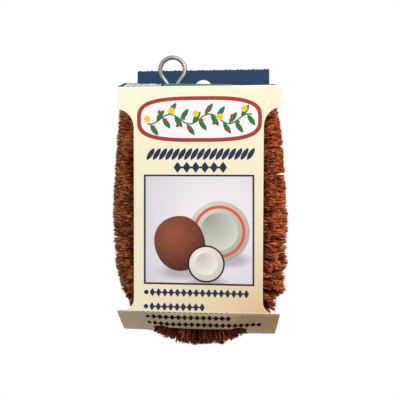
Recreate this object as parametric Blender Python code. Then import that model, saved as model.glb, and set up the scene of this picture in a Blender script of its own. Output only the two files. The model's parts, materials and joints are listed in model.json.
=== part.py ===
"""A coir dish brush in its card sleeve.

A galvanised wire is folded double, and its two strands are twisted together with coir fibre between
them. The twisted brush is bent into a U. At the left leg one strand goes on into a hanging eye, runs
across the top and hooks through the fold of the wire at the right leg. A band of creased card goes round
the brush: the front panel stands on a crease at the bottom, the top panel folds back from it, and the back
and bottom panels hold the brush.

Metres, Z up, X to the right and the front towards -Y. The world origin is where a hook seats in the
hanging eye. Heights inside this file count from the lowest fibre tip, and one empty carries everything to
the origin.
"""

import math
import random

import bmesh
import bpy
import numpy as np
from mathutils import Vector

# Clearances and stock
GAP = 0.0003  # left between two pieces that touch
WIRE_DIAMETER = 0.0022
CARD_THICKNESS = 0.00045

# The twisted pair of strands, bent into a U
BEND_RADIUS = 0.023  # of the pair's centre line round the bottom
LEG_LENGTH = 0.0805  # from the bend to the top of the fibre
LEG_LEAN = 0.003  # how far each leg's top leans towards the other
FIBRE_BETWEEN_STRANDS = 0.0008
TWIST_PITCH = 0.016
STEPS_PER_TWIST = 6
NECK_RISE = 0.0025  # twisted pair that stands above the fibre at the left leg

# The fibre round it
FIBRE_REACH = 0.022  # from the pair's centre line to the tips, at the bend
FIBRE_REACH_TOP = 0.0203  # the same at the tops of the legs
HEART_RADIUS = 0.016  # the dense middle of the fibre, where strands merge
INNER_STOP = 0.003  # fibres stop this far from the centre of the bend
SLICES_PER_LEG = 4
SLICES_IN_BEND = 5
ROWS = 3  # strands along a slice
STRANDS_AROUND = 10
STRAND_BASE = 0.0044
STRAND_TIP = 0.0026
MOST_OF_CELL = 0.72  # the largest share of its own cell that a strand may fill
TRIM_SPREAD = 0.05  # how unevenly the tips are trimmed, as a share of the reach
FIBRE_SEED = 4

# The hanging eye and the wire across the top
EYE_DIAMETER = 0.0151  # outside
EYE_RISE = 0.0163  # centre of the eye above the fibre
EYE_OFFSET = 0.0056  # centre of the eye from the left leg's centre line, inwards
CROSSING_DROP = 0.011  # from the centre of the eye down to where the wire crosses itself
CROSSING_CLEARANCE = 0.0005  # between the two passes of the wire there
EYE_STEPS = 24
NECK_STEPS = 6
TIE_START = 0.004  # where the eye's wire hands over to the cross tie, left of the middle
HOOK_RUN = 0.0035  # straight end of the tie past the fold
HOOK_RADIUS = 0.0022
HOOK_RISE = 0.001
FOLD_CLEARANCE = 0.0004  # round the tie inside the fold
FOLD_STEPS = 10

# The card sleeve
PANEL_WIDTH = 0.0806
WAIST_WIDTH = 0.0642
TAB_HEIGHT = 0.0115  # full-width part below the top crease
CUTOUT_HEIGHT = 0.010  # rounded step from the tab to the waist
FLARE_HEIGHT = 0.0082  # rounded step from the waist to the foot
TIP_HEIGHT = 0.0008  # blunt end of the foot's tip
CORNER_STEPS = 8
TOP_ROOM = 0.0055  # top crease above the fibre
TOP_PANEL_RISE = 0.0056  # from the top crease to the panel's rear edge
NOTCH_SIDE_ROOM = 0.001  # beside the eye, in the top panel's notch
NOTCH_FRONT_ROOM = 0.004  # in front of the wire, in the notch
NOTCH_STEPS = 12
HEADER_WIDTH = 0.0715
HEADER_HEIGHT = 0.0083  # above the top panel's rear edge
HEADER_OFFSET = 0.0015  # middle of the header from the middle of the brush
HANG_HOLE_DIAMETER = 0.009
HANG_HOLE_DROP = 0.0111  # from the header's edge to the middle of the hole
HOLE_STEPS = 24

# The bottom panel and its opening
END_SHOWING = 0.0037  # brush below the bottom panel's rear fold
BOTTOM_DROP = 0.0148  # from the front crease down to the rear fold
BOTTOM_CURVE = 3.6  # power of the curve from one to the other, in front of the opening
SIDE_CURVE = 1.2  # the same at the panel's side edges, where no brush presses the card down
CURVE_EASE = 3  # power with which the one gives way to the other
OPENING_WIDTH = 0.048
STRIP_DEPTH = 0.0088  # card in front of the opening, measured straight back
STRIP_BULGE = 0.0018  # how much deeper the strip is at its middle
CORNER_WIDTH = 0.008  # rounded front corner at each end of the opening
CORNER_DEPTH = 0.010
REAR_STRIP = 0.0045  # card behind the opening
EDGE_ROOM = 0.0006  # between the fibre and the edges of the opening
BOTTOM_COLUMNS = 12  # facets across the opening
BOTTOM_ROWS = 10

WIRE_RADIUS = WIRE_DIAMETER / 2
STRAND_OFFSET = WIRE_RADIUS + FIBRE_BETWEEN_STRANDS / 2
PAIR_RADIUS = STRAND_OFFSET + WIRE_RADIUS
BEND_HEIGHT = BEND_RADIUS + FIBRE_REACH
FIBRE_TOP = BEND_HEIGHT + LEG_LENGTH
BEND_LENGTH = math.pi * BEND_RADIUS
CORE_LENGTH = 2 * LEG_LENGTH + BEND_LENGTH
LEG_TOP_X = BEND_RADIUS - LEG_LEAN

INNER_DEPTH = FIBRE_REACH + GAP  # from the middle to the card's inner faces
OUTER_DEPTH = INNER_DEPTH + CARD_THICKNESS
TOP_CREASE = FIBRE_TOP + TOP_ROOM
REAR_FOLD = END_SHOWING
FRONT_CREASE = REAR_FOLD + BOTTOM_DROP
HALF_PANEL = PANEL_WIDTH / 2
HALF_WAIST = WAIST_WIDTH / 2

EYE_RADIUS = EYE_DIAMETER / 2 - WIRE_RADIUS
EYE_X = EYE_OFFSET - LEG_TOP_X
EYE_HEIGHT = FIBRE_TOP + EYE_RISE
CROSSING_Y = WIRE_RADIUS + CROSSING_CLEARANCE / 2
FOLD_RADIUS = WIRE_DIAMETER + FOLD_CLEARANCE
FOLD_SPREAD = math.sqrt(FOLD_RADIUS**2 - STRAND_OFFSET**2)
TIE_HEIGHT = FIBRE_TOP + GAP + WIRE_RADIUS * FOLD_SPREAD / FOLD_RADIUS + FOLD_SPREAD
HOOK_SEAT = Vector((EYE_X, 0, EYE_HEIGHT + EYE_RADIUS - WIRE_RADIUS))

ACROSS = np.array((0.0, 1.0, 0.0))


def clear_scene():
    """Removes whatever objects the file starts with."""
    for old in list(bpy.data.objects):
        bpy.data.objects.remove(old, do_unlink=True)


def make_material(name, colour, roughness, metallic=0.0):
    """A plain Principled material."""
    material = bpy.data.materials.new(name)
    material.use_nodes = True
    shader = material.node_tree.nodes["Principled BSDF"]
    shader.inputs["Base Color"].default_value = (*colour, 1.0)
    shader.inputs["Roughness"].default_value = roughness
    shader.inputs["Metallic"].default_value = metallic
    return material


def make_empty(name, location, parent=None):
    """An empty that carries pieces; its location is measured from its parent."""
    empty = bpy.data.objects.new(name, None)
    empty.location = location
    empty.parent = parent
    bpy.context.collection.objects.link(empty)
    return empty


def place(name, data, material, parent):
    """Puts mesh or curve data into the scene as one named piece."""
    piece = bpy.data.objects.new(name, data)
    data.materials.append(material)
    piece.parent = parent
    bpy.context.collection.objects.link(piece)
    return piece


def finish_mesh(name, bm):
    """Turns a bmesh into mesh data with its faces pointing out."""
    bmesh.ops.recalc_face_normals(bm, faces=bm.faces)
    mesh = bpy.data.meshes.new(name)
    bm.to_mesh(mesh)
    bm.free()
    return mesh


def core_line(run):
    """Point and outward direction of the pair's centre line, at a run from the left leg's top.

    Each leg leans in as the square of its height above the bend, so it leaves the half circle upright.
    """
    if run < LEG_LENGTH:
        height = LEG_LENGTH - run
        side = -1.0
    elif run > LEG_LENGTH + BEND_LENGTH:
        height = run - LEG_LENGTH - BEND_LENGTH
        side = 1.0
    else:
        turn = (run - LEG_LENGTH) / BEND_RADIUS
        outward = np.array((-math.cos(turn), 0.0, -math.sin(turn)))
        return np.array((0.0, 0.0, BEND_HEIGHT)) + BEND_RADIUS * outward, outward
    lean = LEG_LEAN * (height / LEG_LENGTH) ** 2
    point = np.array((side * (BEND_RADIUS - lean), 0.0, BEND_HEIGHT + height))
    return point, np.array((side, 0.0, 0.0))


def in_bend(run):
    """Whether the run lies on the half circle."""
    return LEG_LENGTH <= run <= LEG_LENGTH + BEND_LENGTH


def around_core(run, angle, distance):
    """A point at a distance from the centre line; angle 0 is the outer side of the U."""
    point, outward = core_line(run)
    return point + distance * (math.cos(angle) * outward + math.sin(angle) * ACROSS)


def full_reach(run):
    """How far the fibre reaches from the centre line, a little less towards the tops of the legs."""
    height = max(0.0, LEG_LENGTH - min(run, CORE_LENGTH - run))
    return FIBRE_REACH + (FIBRE_REACH_TOP - FIBRE_REACH) * (height / LEG_LENGTH) ** 2


def bottom_power(x):
    """Power of the bottom panel's curve: one value between the opening's corners, easing to another at the
    sides."""
    beside = (HALF_PANEL - abs(x)) / (HALF_PANEL - OPENING_WIDTH / 2 + CORNER_WIDTH)
    return SIDE_CURVE + (BOTTOM_CURVE - SIDE_CURVE) * min(1.0, max(0.0, beside)) ** CURVE_EASE


def bottom_height(x, y):
    """Height of the bottom panel's outer face, steep at the front crease and level at the rear fold."""
    back = min(1.0, max(0.0, (y + OUTER_DEPTH) / (2 * OUTER_DEPTH)))
    return REAR_FOLD + BOTTOM_DROP * (1 - back) ** bottom_power(x)


def bottom_slope(x, y):
    """Rate at which the bottom panel falls towards the back."""
    back = min(1.0, max(0.0, (y + OUTER_DEPTH) / (2 * OUTER_DEPTH)))
    power = bottom_power(x)
    return BOTTOM_DROP * power * (1 - back) ** (power - 1) / (2 * OUTER_DEPTH)


def opening_front(x):
    """Where the opening starts behind the front strip, which is a little deeper at its middle and rounds off
    into the sides as a parabola."""
    share = min(1.0, abs(x) / (OPENING_WIDTH / 2))
    corner = max(0.0, 1 - (1 - share) * OPENING_WIDTH / 2 / CORNER_WIDTH)
    return -OUTER_DEPTH + STRIP_DEPTH + STRIP_BULGE * (1 - share**2) + CORNER_DEPTH * corner**2


OPENING_BACK = OUTER_DEPTH - REAR_STRIP


def above_bottom(point):
    """Clearance between a point and the bottom panel's inner face, less the gap that is kept there."""
    x, y, z = point
    steepness = math.hypot(1.0, bottom_slope(x, y))
    return z - bottom_height(x, y) - (CARD_THICKNESS + 2 * GAP) * steepness


def in_opening(point):
    """Whether a point on the bottom panel lies inside its opening, clear of the edges."""
    x, y = point[0], point[1]
    if abs(x) > OPENING_WIDTH / 2 - EDGE_ROOM:
        return False
    return opening_front(x) + EDGE_ROOM < y < OPENING_BACK - EDGE_ROOM


def free_distance(run, angle, wanted):
    """The longest distance up to wanted that keeps off the front and back card and the other leg's fibre."""
    point, _ = core_line(run)
    inward = -math.cos(angle)
    sideways = abs(math.sin(angle))
    room = wanted
    if sideways > 0:
        room = min(room, (INNER_DEPTH - GAP) / sideways)
    if inward > 0:
        reach = BEND_RADIUS - INNER_STOP if in_bend(run) else abs(point[0]) - GAP
        room = min(room, reach / inward)
    return room


def meets_bottom(run, angle, wanted):
    """Distance at which a straight fibre meets the bottom panel, or None if it stays above."""
    if above_bottom(around_core(run, angle, wanted)) >= 0:
        return None
    near, far = 0.0, wanted
    for _ in range(40):
        middle = (near + far) / 2
        if above_bottom(around_core(run, angle, middle)) >= 0:
            near = middle
        else:
            far = middle
    return near


def strand_tip(corners, wanted):
    """Four tip points of a strand: it passes through the opening whole, or stops above the card."""
    distances = [free_distance(run, angle, wanted) for run, angle in corners]
    hits = [meets_bottom(run, angle, far) for (run, angle), far in zip(corners, distances)]
    stopped = any(
        hit is not None and not in_opening(around_core(run, angle, hit))
        for (run, angle), hit in zip(corners, hits)
    )
    if stopped:
        distances = [far if hit is None else hit for far, hit in zip(distances, hits)]
    return [around_core(run, angle, far) for (run, angle), far in zip(corners, distances)]


def cell_corners(run, angle, width, distance, cell_run, cell_angle):
    """Four corners, in run and angle, of a strand of a width at a distance from the centre line.

    Inside the bend, runs draw together towards its centre, as far as the fibres go.
    """
    outwards = max(distance * math.cos(angle), INNER_STOP - BEND_RADIUS)
    stretch = 1 + outwards / BEND_RADIUS if in_bend(run) else 1.0
    half_run = min(width / stretch, MOST_OF_CELL * cell_run) / 2
    half_angle = min(width / distance, MOST_OF_CELL * cell_angle) / 2
    signs = ((-1, -1), (-1, 1), (1, 1), (1, -1))
    return [(run + a * half_run, angle + b * half_angle) for a, b in signs]


def fibre_slice(name, start, end, dice, material, parent):
    """One slice of fibre: a dense heart with a bore for the wires and a strand on each outer face."""
    bm = bmesh.new()
    cell_run = (end - start) / ROWS
    cell_angle = 2 * math.pi / STRANDS_AROUND
    bore = (PAIR_RADIUS + GAP + bore_sagitta(cell_run)) / math.cos(cell_angle / 2)
    heart = []
    inside = []
    for i in range(ROWS + 1):
        run = start + i * cell_run
        _, outward = core_line(run)
        backward = np.array((outward[2], 0.0, -outward[0]))
        trim = GAP / 2 * ((i == ROWS) - (i == 0)) * backward
        for ring, radius in ((heart, HEART_RADIUS), (inside, bore)):
            points = [around_core(run, j * cell_angle, radius) + trim for j in range(STRANDS_AROUND)]
            ring.append([bm.verts.new(p) for p in points])
    for i in range(ROWS):
        for j in range(STRANDS_AROUND):
            k = (j + 1) % STRANDS_AROUND
            bm.faces.new((inside[i][j], inside[i][k], inside[i + 1][k], inside[i + 1][j]))
            cell = (heart[i][j], heart[i][k], heart[i + 1][k], heart[i + 1][j])
            run = start + (i + 0.5) * cell_run
            angle = (j + 0.5) * cell_angle
            foot = cell_corners(run, angle, STRAND_BASE, HEART_RADIUS, cell_run, cell_angle)
            reach = full_reach(run) * (1 - TRIM_SPREAD * dice.random())
            top = cell_corners(run, angle, STRAND_TIP, reach, cell_run, cell_angle)
            slack_run = cell_run / 2 - (top[2][0] - run)
            slack_angle = cell_angle / 2 - (top[2][1] - angle)
            lean_run = slack_run * dice.uniform(-0.6, 0.6)
            lean_angle = slack_angle * dice.uniform(-0.6, 0.6)
            top = [(r + lean_run, a + lean_angle) for r, a in top]
            base = [bm.verts.new(around_core(r, a, HEART_RADIUS)) for r, a in foot]
            tip = [bm.verts.new(p) for p in strand_tip(top, reach)]
            for a in range(4):
                b = (a + 1) % 4
                bm.faces.new((cell[a], cell[b], base[b], base[a]))
                bm.faces.new((base[a], base[b], tip[b], tip[a]))
            bm.faces.new(tip)
    for i in (0, ROWS):
        for j in range(STRANDS_AROUND):
            k = (j + 1) % STRANDS_AROUND
            bm.faces.new((heart[i][j], heart[i][k], inside[i][k], inside[i][j]))
    place(name, finish_mesh(name, bm), material, parent)


def bore_sagitta(cell_run):
    """How far the straight facets of a curved bore and of the curved pair come towards each other."""
    return (cell_run**2 + (TWIST_PITCH / STEPS_PER_TWIST) ** 2) / (8 * BEND_RADIUS)


def fibre_slices(material, parent):
    """All slices, from the left leg's top round the bend to the right leg's top."""
    dice = random.Random(FIBRE_SEED)
    groups = (
        ("left_fibre", 0.0, LEG_LENGTH, SLICES_PER_LEG),
        ("bend_fibre", LEG_LENGTH, LEG_LENGTH + BEND_LENGTH, SLICES_IN_BEND),
        ("right_fibre", LEG_LENGTH + BEND_LENGTH, CORE_LENGTH, SLICES_PER_LEG),
    )
    for group, start, end, count in groups:
        step = (end - start) / count
        for i in range(count):
            first = start + i * step
            fibre_slice(f"{group}_{i + 1}", first, first + step, dice, material, parent)


def pair_section():
    """Outline of the two strands side by side, with the waist between them filled by fibre."""
    lobe = math.radians(75)
    shoulder = STRAND_OFFSET + WIRE_RADIUS * math.cos(lobe)
    height = WIRE_RADIUS * math.sin(lobe)
    waist = height / 2
    right = [(shoulder, -height), (PAIR_RADIUS, 0.0), (shoulder, height), (0.0, waist)]
    return right + [(-u, -v) for u, v in right]


def twisted_core(material, parent):
    """The twisted pair from above the left leg's fibre, round the bend, to the right leg's top."""
    turns = round(CORE_LENGTH / TWIST_PITCH)
    steps = turns * STEPS_PER_TWIST
    stations = [(-NECK_RISE, 0.0)]
    stations += [(CORE_LENGTH * i / steps, 2 * math.pi * turns * i / steps) for i in range(steps + 1)]
    bm = bmesh.new()
    rings = []
    for run, turn in stations:
        point, outward = core_line(max(run, 0.0))
        point = point + np.array((0.0, 0.0, max(-run, 0.0)))
        ring = []
        for u, v in pair_section():
            across = u * math.cos(turn) - v * math.sin(turn)
            aside = u * math.sin(turn) + v * math.cos(turn)
            ring.append(bm.verts.new(point + across * ACROSS + aside * outward))
        rings.append(ring)
    count = len(rings[0])
    for low, high in zip(rings, rings[1:]):
        for j in range(count):
            k = (j + 1) % count
            bm.faces.new((low[j], low[k], high[k], high[j]))
    bm.faces.new(rings[0])
    bm.faces.new(rings[-1])
    place("twisted_core", finish_mesh("twisted_core", bm), material, parent)


def wire(name, points, material, parent):
    """One length of round wire along the given points, with flat ends."""
    curve = bpy.data.curves.new(name, "CURVE")
    curve.dimensions = "3D"
    curve.bevel_depth = WIRE_RADIUS
    curve.bevel_resolution = 2
    curve.use_fill_caps = True
    spline = curve.splines.new("POLY")
    spline.points.add(len(points) - 1)
    for target, point in zip(spline.points, points):
        target.co = (*point, 1.0)
        target.radius = 1.0
    place(name, curve, material, parent)


def bezier(start, start_pull, end_pull, end, steps):
    """Points along a cubic from start to end, without the end itself."""
    points = []
    for i in range(steps):
        s = i / steps
        weights = ((1 - s) ** 3, 3 * s * (1 - s) ** 2, 3 * s * s * (1 - s), s**3)
        corners = (start, start_pull, end_pull, end)
        points.append(sum((w * c for w, c in zip(weights, corners)), Vector((0, 0, 0))))
    return points


def least_gap(points, apart):
    """Least clear distance between stretches of one wire that lie further along it than apart."""
    places = np.array([tuple(p) for p in points])
    steps = np.linalg.norm(np.diff(places, axis=0), axis=1)
    runs = np.concatenate(((0.0,), np.cumsum(steps)))
    fine = np.linspace(0.0, runs[-1], 900)
    dense = np.stack([np.interp(fine, runs, places[:, k]) for k in range(3)], axis=1)
    distance = np.linalg.norm(dense[:, None] - dense[None], axis=2)
    far = np.abs(fine[:, None] - fine[None]) > apart
    return distance[far].min() - WIRE_DIAMETER


def hanging_eye(material, parent):
    """From one strand of the neck up round the eye, back behind itself, and down towards the tie."""
    opening = math.asin(EYE_RADIUS / CROSSING_DROP)
    direction = Vector((math.sin(opening), 0, math.cos(opening)))
    centre = Vector((EYE_X, 0, EYE_HEIGHT))
    crossing = centre - Vector((0, 0, CROSSING_DROP))
    front = Vector((0, -CROSSING_Y, 0))
    neck = Vector((-LEG_TOP_X, -STRAND_OFFSET, FIBRE_TOP + NECK_RISE + GAP))
    pull = (crossing - neck).length / 3
    points = bezier(
        neck, neck + Vector((0, 0, pull)), crossing + front - pull * direction, crossing + front, NECK_STEPS
    )
    points.append(crossing + front)
    sweep = 2 * math.pi - 2 * (math.pi / 2 - opening)
    first = -opening
    for i in range(EYE_STEPS + 1):
        angle = first + sweep * i / EYE_STEPS
        across = CROSSING_Y * (2 * i / EYE_STEPS - 1)
        offset = Vector((EYE_RADIUS * math.cos(angle), across, EYE_RADIUS * math.sin(angle)))
        points.append(centre + offset)
    down = Vector((direction.x, 0, -direction.z))
    end = Vector((-TIE_START, CROSSING_Y, TIE_HEIGHT))
    pull = (end - crossing).length / 3
    behind = crossing - front
    points += bezier(behind, behind + pull * down, end - Vector((pull, 0, 0)), end, NECK_STEPS)
    points.append(end)
    clear = least_gap(points, 3 * WIRE_DIAMETER)
    print("least gap of the hanging eye to itself, mm:", round(clear * 1000, 2))
    wire("hanging_eye", points, material, parent)


def cross_tie(material, parent):
    """From the eye across to the right leg, through the fold, with its end turned up as a hook."""
    turn = LEG_TOP_X + HOOK_RUN
    points = [Vector((-TIE_START + GAP, CROSSING_Y, TIE_HEIGHT))]
    points.append(Vector((TIE_START, CROSSING_Y / 2, TIE_HEIGHT)))
    points.append(Vector((LEG_TOP_X / 2 + TIE_START / 2, 0, TIE_HEIGHT)))
    points.append(Vector((LEG_TOP_X, 0, TIE_HEIGHT)))
    for i in range(6):
        angle = math.pi / 2 * i / 5
        rise = HOOK_RADIUS * (1 - math.cos(angle))
        points.append(Vector((turn + HOOK_RADIUS * math.sin(angle), 0, TIE_HEIGHT + rise)))
    points.append(points[-1] + Vector((0, 0, HOOK_RISE)))
    wire("cross_tie", points, material, parent)


def fold_loop(material, parent):
    """The fold of the wire above the right leg, an arc round the tie that ends over the two strands."""
    below = math.asin(FOLD_SPREAD / FOLD_RADIUS)
    points = []
    for i in range(FOLD_STEPS + 1):
        angle = -below + (math.pi + 2 * below) * i / FOLD_STEPS
        rise = FOLD_RADIUS * math.sin(angle)
        points.append(Vector((LEG_TOP_X, -FOLD_RADIUS * math.cos(angle), TIE_HEIGHT + rise)))
    clear = least_gap(points, 3 * WIRE_DIAMETER)
    print("least gap of the fold to itself, mm:", round(clear * 1000, 2))
    wire("fold_loop", points, material, parent)


def rounded_step(outer, inner, start, end):
    """Quarter ellipse from (outer, start) to (inner, end), hollow towards the outside."""
    points = []
    for i in range(CORNER_STEPS + 1):
        angle = math.pi / 2 * i / CORNER_STEPS
        points.append((outer + (inner - outer) * math.sin(angle), end + (start - end) * math.cos(angle)))
    return points


def band_side(foot, shoulder, tab):
    """Right-hand outline of a long panel, from its foot up: tip, flare, waist, rounded step and tab."""
    tip = foot + TIP_HEIGHT
    points = [(HALF_PANEL, foot)]
    points += rounded_step(HALF_PANEL, HALF_WAIST, tip, tip + FLARE_HEIGHT)
    points += reversed(rounded_step(HALF_PANEL, HALF_WAIST, tab, tab - CUTOUT_HEIGHT))
    points.append((HALF_PANEL, shoulder))
    return points


def card(outline, lift):
    """A flat card from its outline; lift maps an outline point and a depth into the card to space."""
    bm = bmesh.new()
    faces = []
    for depth in (0.0, CARD_THICKNESS):
        faces.append([bm.verts.new(lift(a, b, depth)) for a, b in outline])
    bm.faces.new(faces[0])
    bm.faces.new(list(reversed(faces[1])))
    count = len(outline)
    for i in range(count):
        k = (i + 1) % count
        bm.faces.new((faces[0][i], faces[0][k], faces[1][k], faces[1][i]))
    return bm


def front_panel(material, parent):
    """The tall front panel, on the perforated crease at its foot. Its height is measured from that crease."""
    foot = CARD_THICKNESS + GAP
    height = TOP_CREASE - FRONT_CREASE
    side = band_side(foot, height, height - TAB_HEIGHT)
    outline = side + [(-x, z) for x, z in reversed(side)]
    bm = card(outline, lambda x, z, depth: (x, depth, z))
    place("front_panel", finish_mesh("front_panel", bm), material, parent)


def top_panel(material, parent):
    """The top panel, folded back from the front panel, with a notch that lets the hanging eye pass."""
    run = OUTER_DEPTH + INNER_DEPTH - GAP
    slope = math.atan2(TOP_PANEL_RISE, run)
    length = math.hypot(TOP_PANEL_RISE, run)
    start = CARD_THICKNESS + GAP
    notch = EYE_DIAMETER / 2 + NOTCH_SIDE_ROOM
    wire_front = CROSSING_Y + WIRE_RADIUS
    notch_end = (OUTER_DEPTH - wire_front - NOTCH_FRONT_ROOM) / math.cos(slope)
    centre = notch_end + notch
    outline = [(-HALF_PANEL, start), (HALF_PANEL, start), (HALF_PANEL, length)]
    outline.append((EYE_X + notch, length))
    for i in range(NOTCH_STEPS + 1):
        angle = math.pi * i / NOTCH_STEPS
        outline.append((EYE_X + notch * math.cos(angle), centre - notch * math.sin(angle)))
    outline += [(EYE_X - notch, length), (-HALF_PANEL, length)]
    bm = card(outline, lambda x, d, depth: (x, d, -depth))
    piece = place("top_panel", finish_mesh("top_panel", bm), material, parent)
    piece.rotation_euler = (slope, 0, 0)


def back_panel(material, parent):
    """The back panel with its header, and the round hole that the pack hangs by."""
    foot = REAR_FOLD + CARD_THICKNESS + GAP
    shoulder = TOP_CREASE + TOP_PANEL_RISE
    edge = shoulder + HEADER_HEIGHT
    side = band_side(foot, shoulder, TOP_CREASE - TAB_HEIGHT)
    left = [(-x, z) for x, z in reversed(side)]
    half = HEADER_WIDTH / 2
    header = [
        (HEADER_OFFSET + half, shoulder),
        (HEADER_OFFSET + half, edge),
        (HEADER_OFFSET - half, edge),
        (HEADER_OFFSET - half, shoulder),
    ]
    bm = card(side + header + left, lambda x, z, depth: (x, INNER_DEPTH + depth, z))
    piece = place("back_panel", finish_mesh("back_panel", bm), material, parent)

    cutter_mesh = bpy.data.meshes.new("hang_hole_cutter")
    bm = bmesh.new()
    radius = HANG_HOLE_DIAMETER / 2
    bmesh.ops.create_cone(
        bm, cap_ends=True, segments=HOLE_STEPS, radius1=radius, radius2=radius, depth=4 * CARD_THICKNESS
    )
    bm.to_mesh(cutter_mesh)
    bm.free()
    cutter = bpy.data.objects.new("hang_hole_cutter", cutter_mesh)
    cutter.rotation_euler = (math.pi / 2, 0, 0)
    cutter.location = (HEADER_OFFSET, INNER_DEPTH + CARD_THICKNESS / 2, edge - HANG_HOLE_DROP)
    cutter.parent = parent
    cutter.hide_render = True
    cutter.display_type = "WIRE"
    bpy.context.collection.objects.link(cutter)
    hole = piece.modifiers.new("hang_hole", "BOOLEAN")
    hole.operation = "DIFFERENCE"
    hole.object = cutter


def bottom_panel(material, parent):
    """The bottom panel, curved from the front crease to the rear fold, open for the brush's end."""
    half = OPENING_WIDTH / 2
    columns = [-HALF_PANEL, -(HALF_PANEL + half) / 2]
    columns += [-half + OPENING_WIDTH * i / BOTTOM_COLUMNS for i in range(BOTTOM_COLUMNS + 1)]
    columns += [(HALF_PANEL + half) / 2, HALF_PANEL]
    first_open = 2
    last_open = first_open + BOTTOM_COLUMNS
    front_rows = BOTTOM_ROWS // 2

    def depth_at(x, row):
        """Place from front to back of a row of corners; one row follows the opening's front edge."""
        if row <= front_rows:
            return -OUTER_DEPTH + (opening_front(x) + OUTER_DEPTH) * row / front_rows
        if row == BOTTOM_ROWS:
            return OUTER_DEPTH
        share = (row - front_rows) / (BOTTOM_ROWS - 1 - front_rows)
        return opening_front(x) + (OPENING_BACK - opening_front(x)) * share

    bm = bmesh.new()
    outer = {}
    inner = {}
    for i, x in enumerate(columns):
        for j in range(BOTTOM_ROWS + 1):
            y = depth_at(x, j)
            slope = bottom_slope(x, y)
            into = np.array((0.0, slope, 1.0)) / math.hypot(1.0, slope)
            point = np.array((x, y, bottom_height(x, y)))
            outer[i, j] = bm.verts.new(point)
            inner[i, j] = bm.verts.new(point + CARD_THICKNESS * into)

    def is_card(i, j):
        """Whether the cell at column i and row j is card, and not opening or outside."""
        if not (0 <= i < len(columns) - 1 and 0 <= j < BOTTOM_ROWS):
            return False
        return not (first_open <= i < last_open and front_rows <= j < BOTTOM_ROWS - 1)

    for i in range(len(columns) - 1):
        for j in range(BOTTOM_ROWS):
            if not is_card(i, j):
                continue
            ring = ((i, j), (i + 1, j), (i + 1, j + 1), (i, j + 1))
            beyond = ((i, j - 1), (i + 1, j), (i, j + 1), (i - 1, j))
            bm.faces.new([outer[c] for c in ring])
            bm.faces.new([inner[c] for c in reversed(ring)])
            for k in range(4):
                a, b = ring[k], ring[(k + 1) % 4]
                if not is_card(*beyond[k]):
                    bm.faces.new((outer[b], outer[a], inner[a], inner[b]))
    loose = [v for v in bm.verts if not v.link_faces]
    bmesh.ops.delete(bm, geom=loose, context="VERTS")
    place("bottom_panel", finish_mesh("bottom_panel", bm), material, parent)


clear_scene()
galvanised = make_material("galvanised_wire", (0.42, 0.42, 0.41), 0.38, 1.0)
coir = make_material("coir_fibre", (0.30, 0.10, 0.035), 0.85)
cream_card = make_material("cream_card", (0.90, 0.80, 0.58), 0.6)
navy_card = make_material("navy_card", (0.035, 0.075, 0.17), 0.6)

frame = make_empty("brush_frame", -HOOK_SEAT)
front_crease = make_empty("front_crease", (0, -OUTER_DEPTH, FRONT_CREASE), frame)
top_crease = make_empty("top_crease", (0, 0, TOP_CREASE - FRONT_CREASE), front_crease)

fibre_slices(coir, frame)
twisted_core(galvanised, frame)
hanging_eye(galvanised, frame)
cross_tie(galvanised, frame)
fold_loop(galvanised, frame)
back_panel(navy_card, frame)
bottom_panel(cream_card, frame)
front_panel(cream_card, front_crease)
top_panel(cream_card, top_crease)
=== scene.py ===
"""The looks of a coir dish brush in its printed card sleeve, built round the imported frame."""

import json
import math

import bpy
import numpy as np
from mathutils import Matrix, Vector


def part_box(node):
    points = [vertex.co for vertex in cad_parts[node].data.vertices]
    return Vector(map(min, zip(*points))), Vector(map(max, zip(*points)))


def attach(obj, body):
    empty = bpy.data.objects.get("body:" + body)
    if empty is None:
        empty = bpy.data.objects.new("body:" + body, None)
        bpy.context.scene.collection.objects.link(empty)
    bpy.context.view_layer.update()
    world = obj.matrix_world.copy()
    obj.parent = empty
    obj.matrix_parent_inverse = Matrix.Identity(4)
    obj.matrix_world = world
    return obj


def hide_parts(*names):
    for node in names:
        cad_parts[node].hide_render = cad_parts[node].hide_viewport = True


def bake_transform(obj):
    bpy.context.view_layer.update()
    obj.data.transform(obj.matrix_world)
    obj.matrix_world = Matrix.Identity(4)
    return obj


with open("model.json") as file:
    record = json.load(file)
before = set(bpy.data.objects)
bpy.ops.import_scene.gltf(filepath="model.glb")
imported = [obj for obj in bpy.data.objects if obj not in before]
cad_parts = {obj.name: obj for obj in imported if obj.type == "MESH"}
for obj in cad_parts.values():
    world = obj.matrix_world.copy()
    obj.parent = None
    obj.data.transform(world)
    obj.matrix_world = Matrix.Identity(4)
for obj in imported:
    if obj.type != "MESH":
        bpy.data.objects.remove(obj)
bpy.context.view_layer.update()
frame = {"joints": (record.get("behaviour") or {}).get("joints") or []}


# Where the brush hangs and how it is seen
# The brush hangs by its wire eye before a white ground, its front card square to a level camera that stands
# half a metre away. A pale round floor lies below the brush, out of the front view.
creases = {joint["name"]: joint["pos_m"] for joint in frame["joints"]}
MIDDLE, FRONT, FOOT = creases["front_crease"]  # x of the brush's middle, y and height of the lower crease
SHOULDER = creases["top_crease"][2]  # height of the crease at the top of the front card
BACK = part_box("back_panel")[1].y

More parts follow.
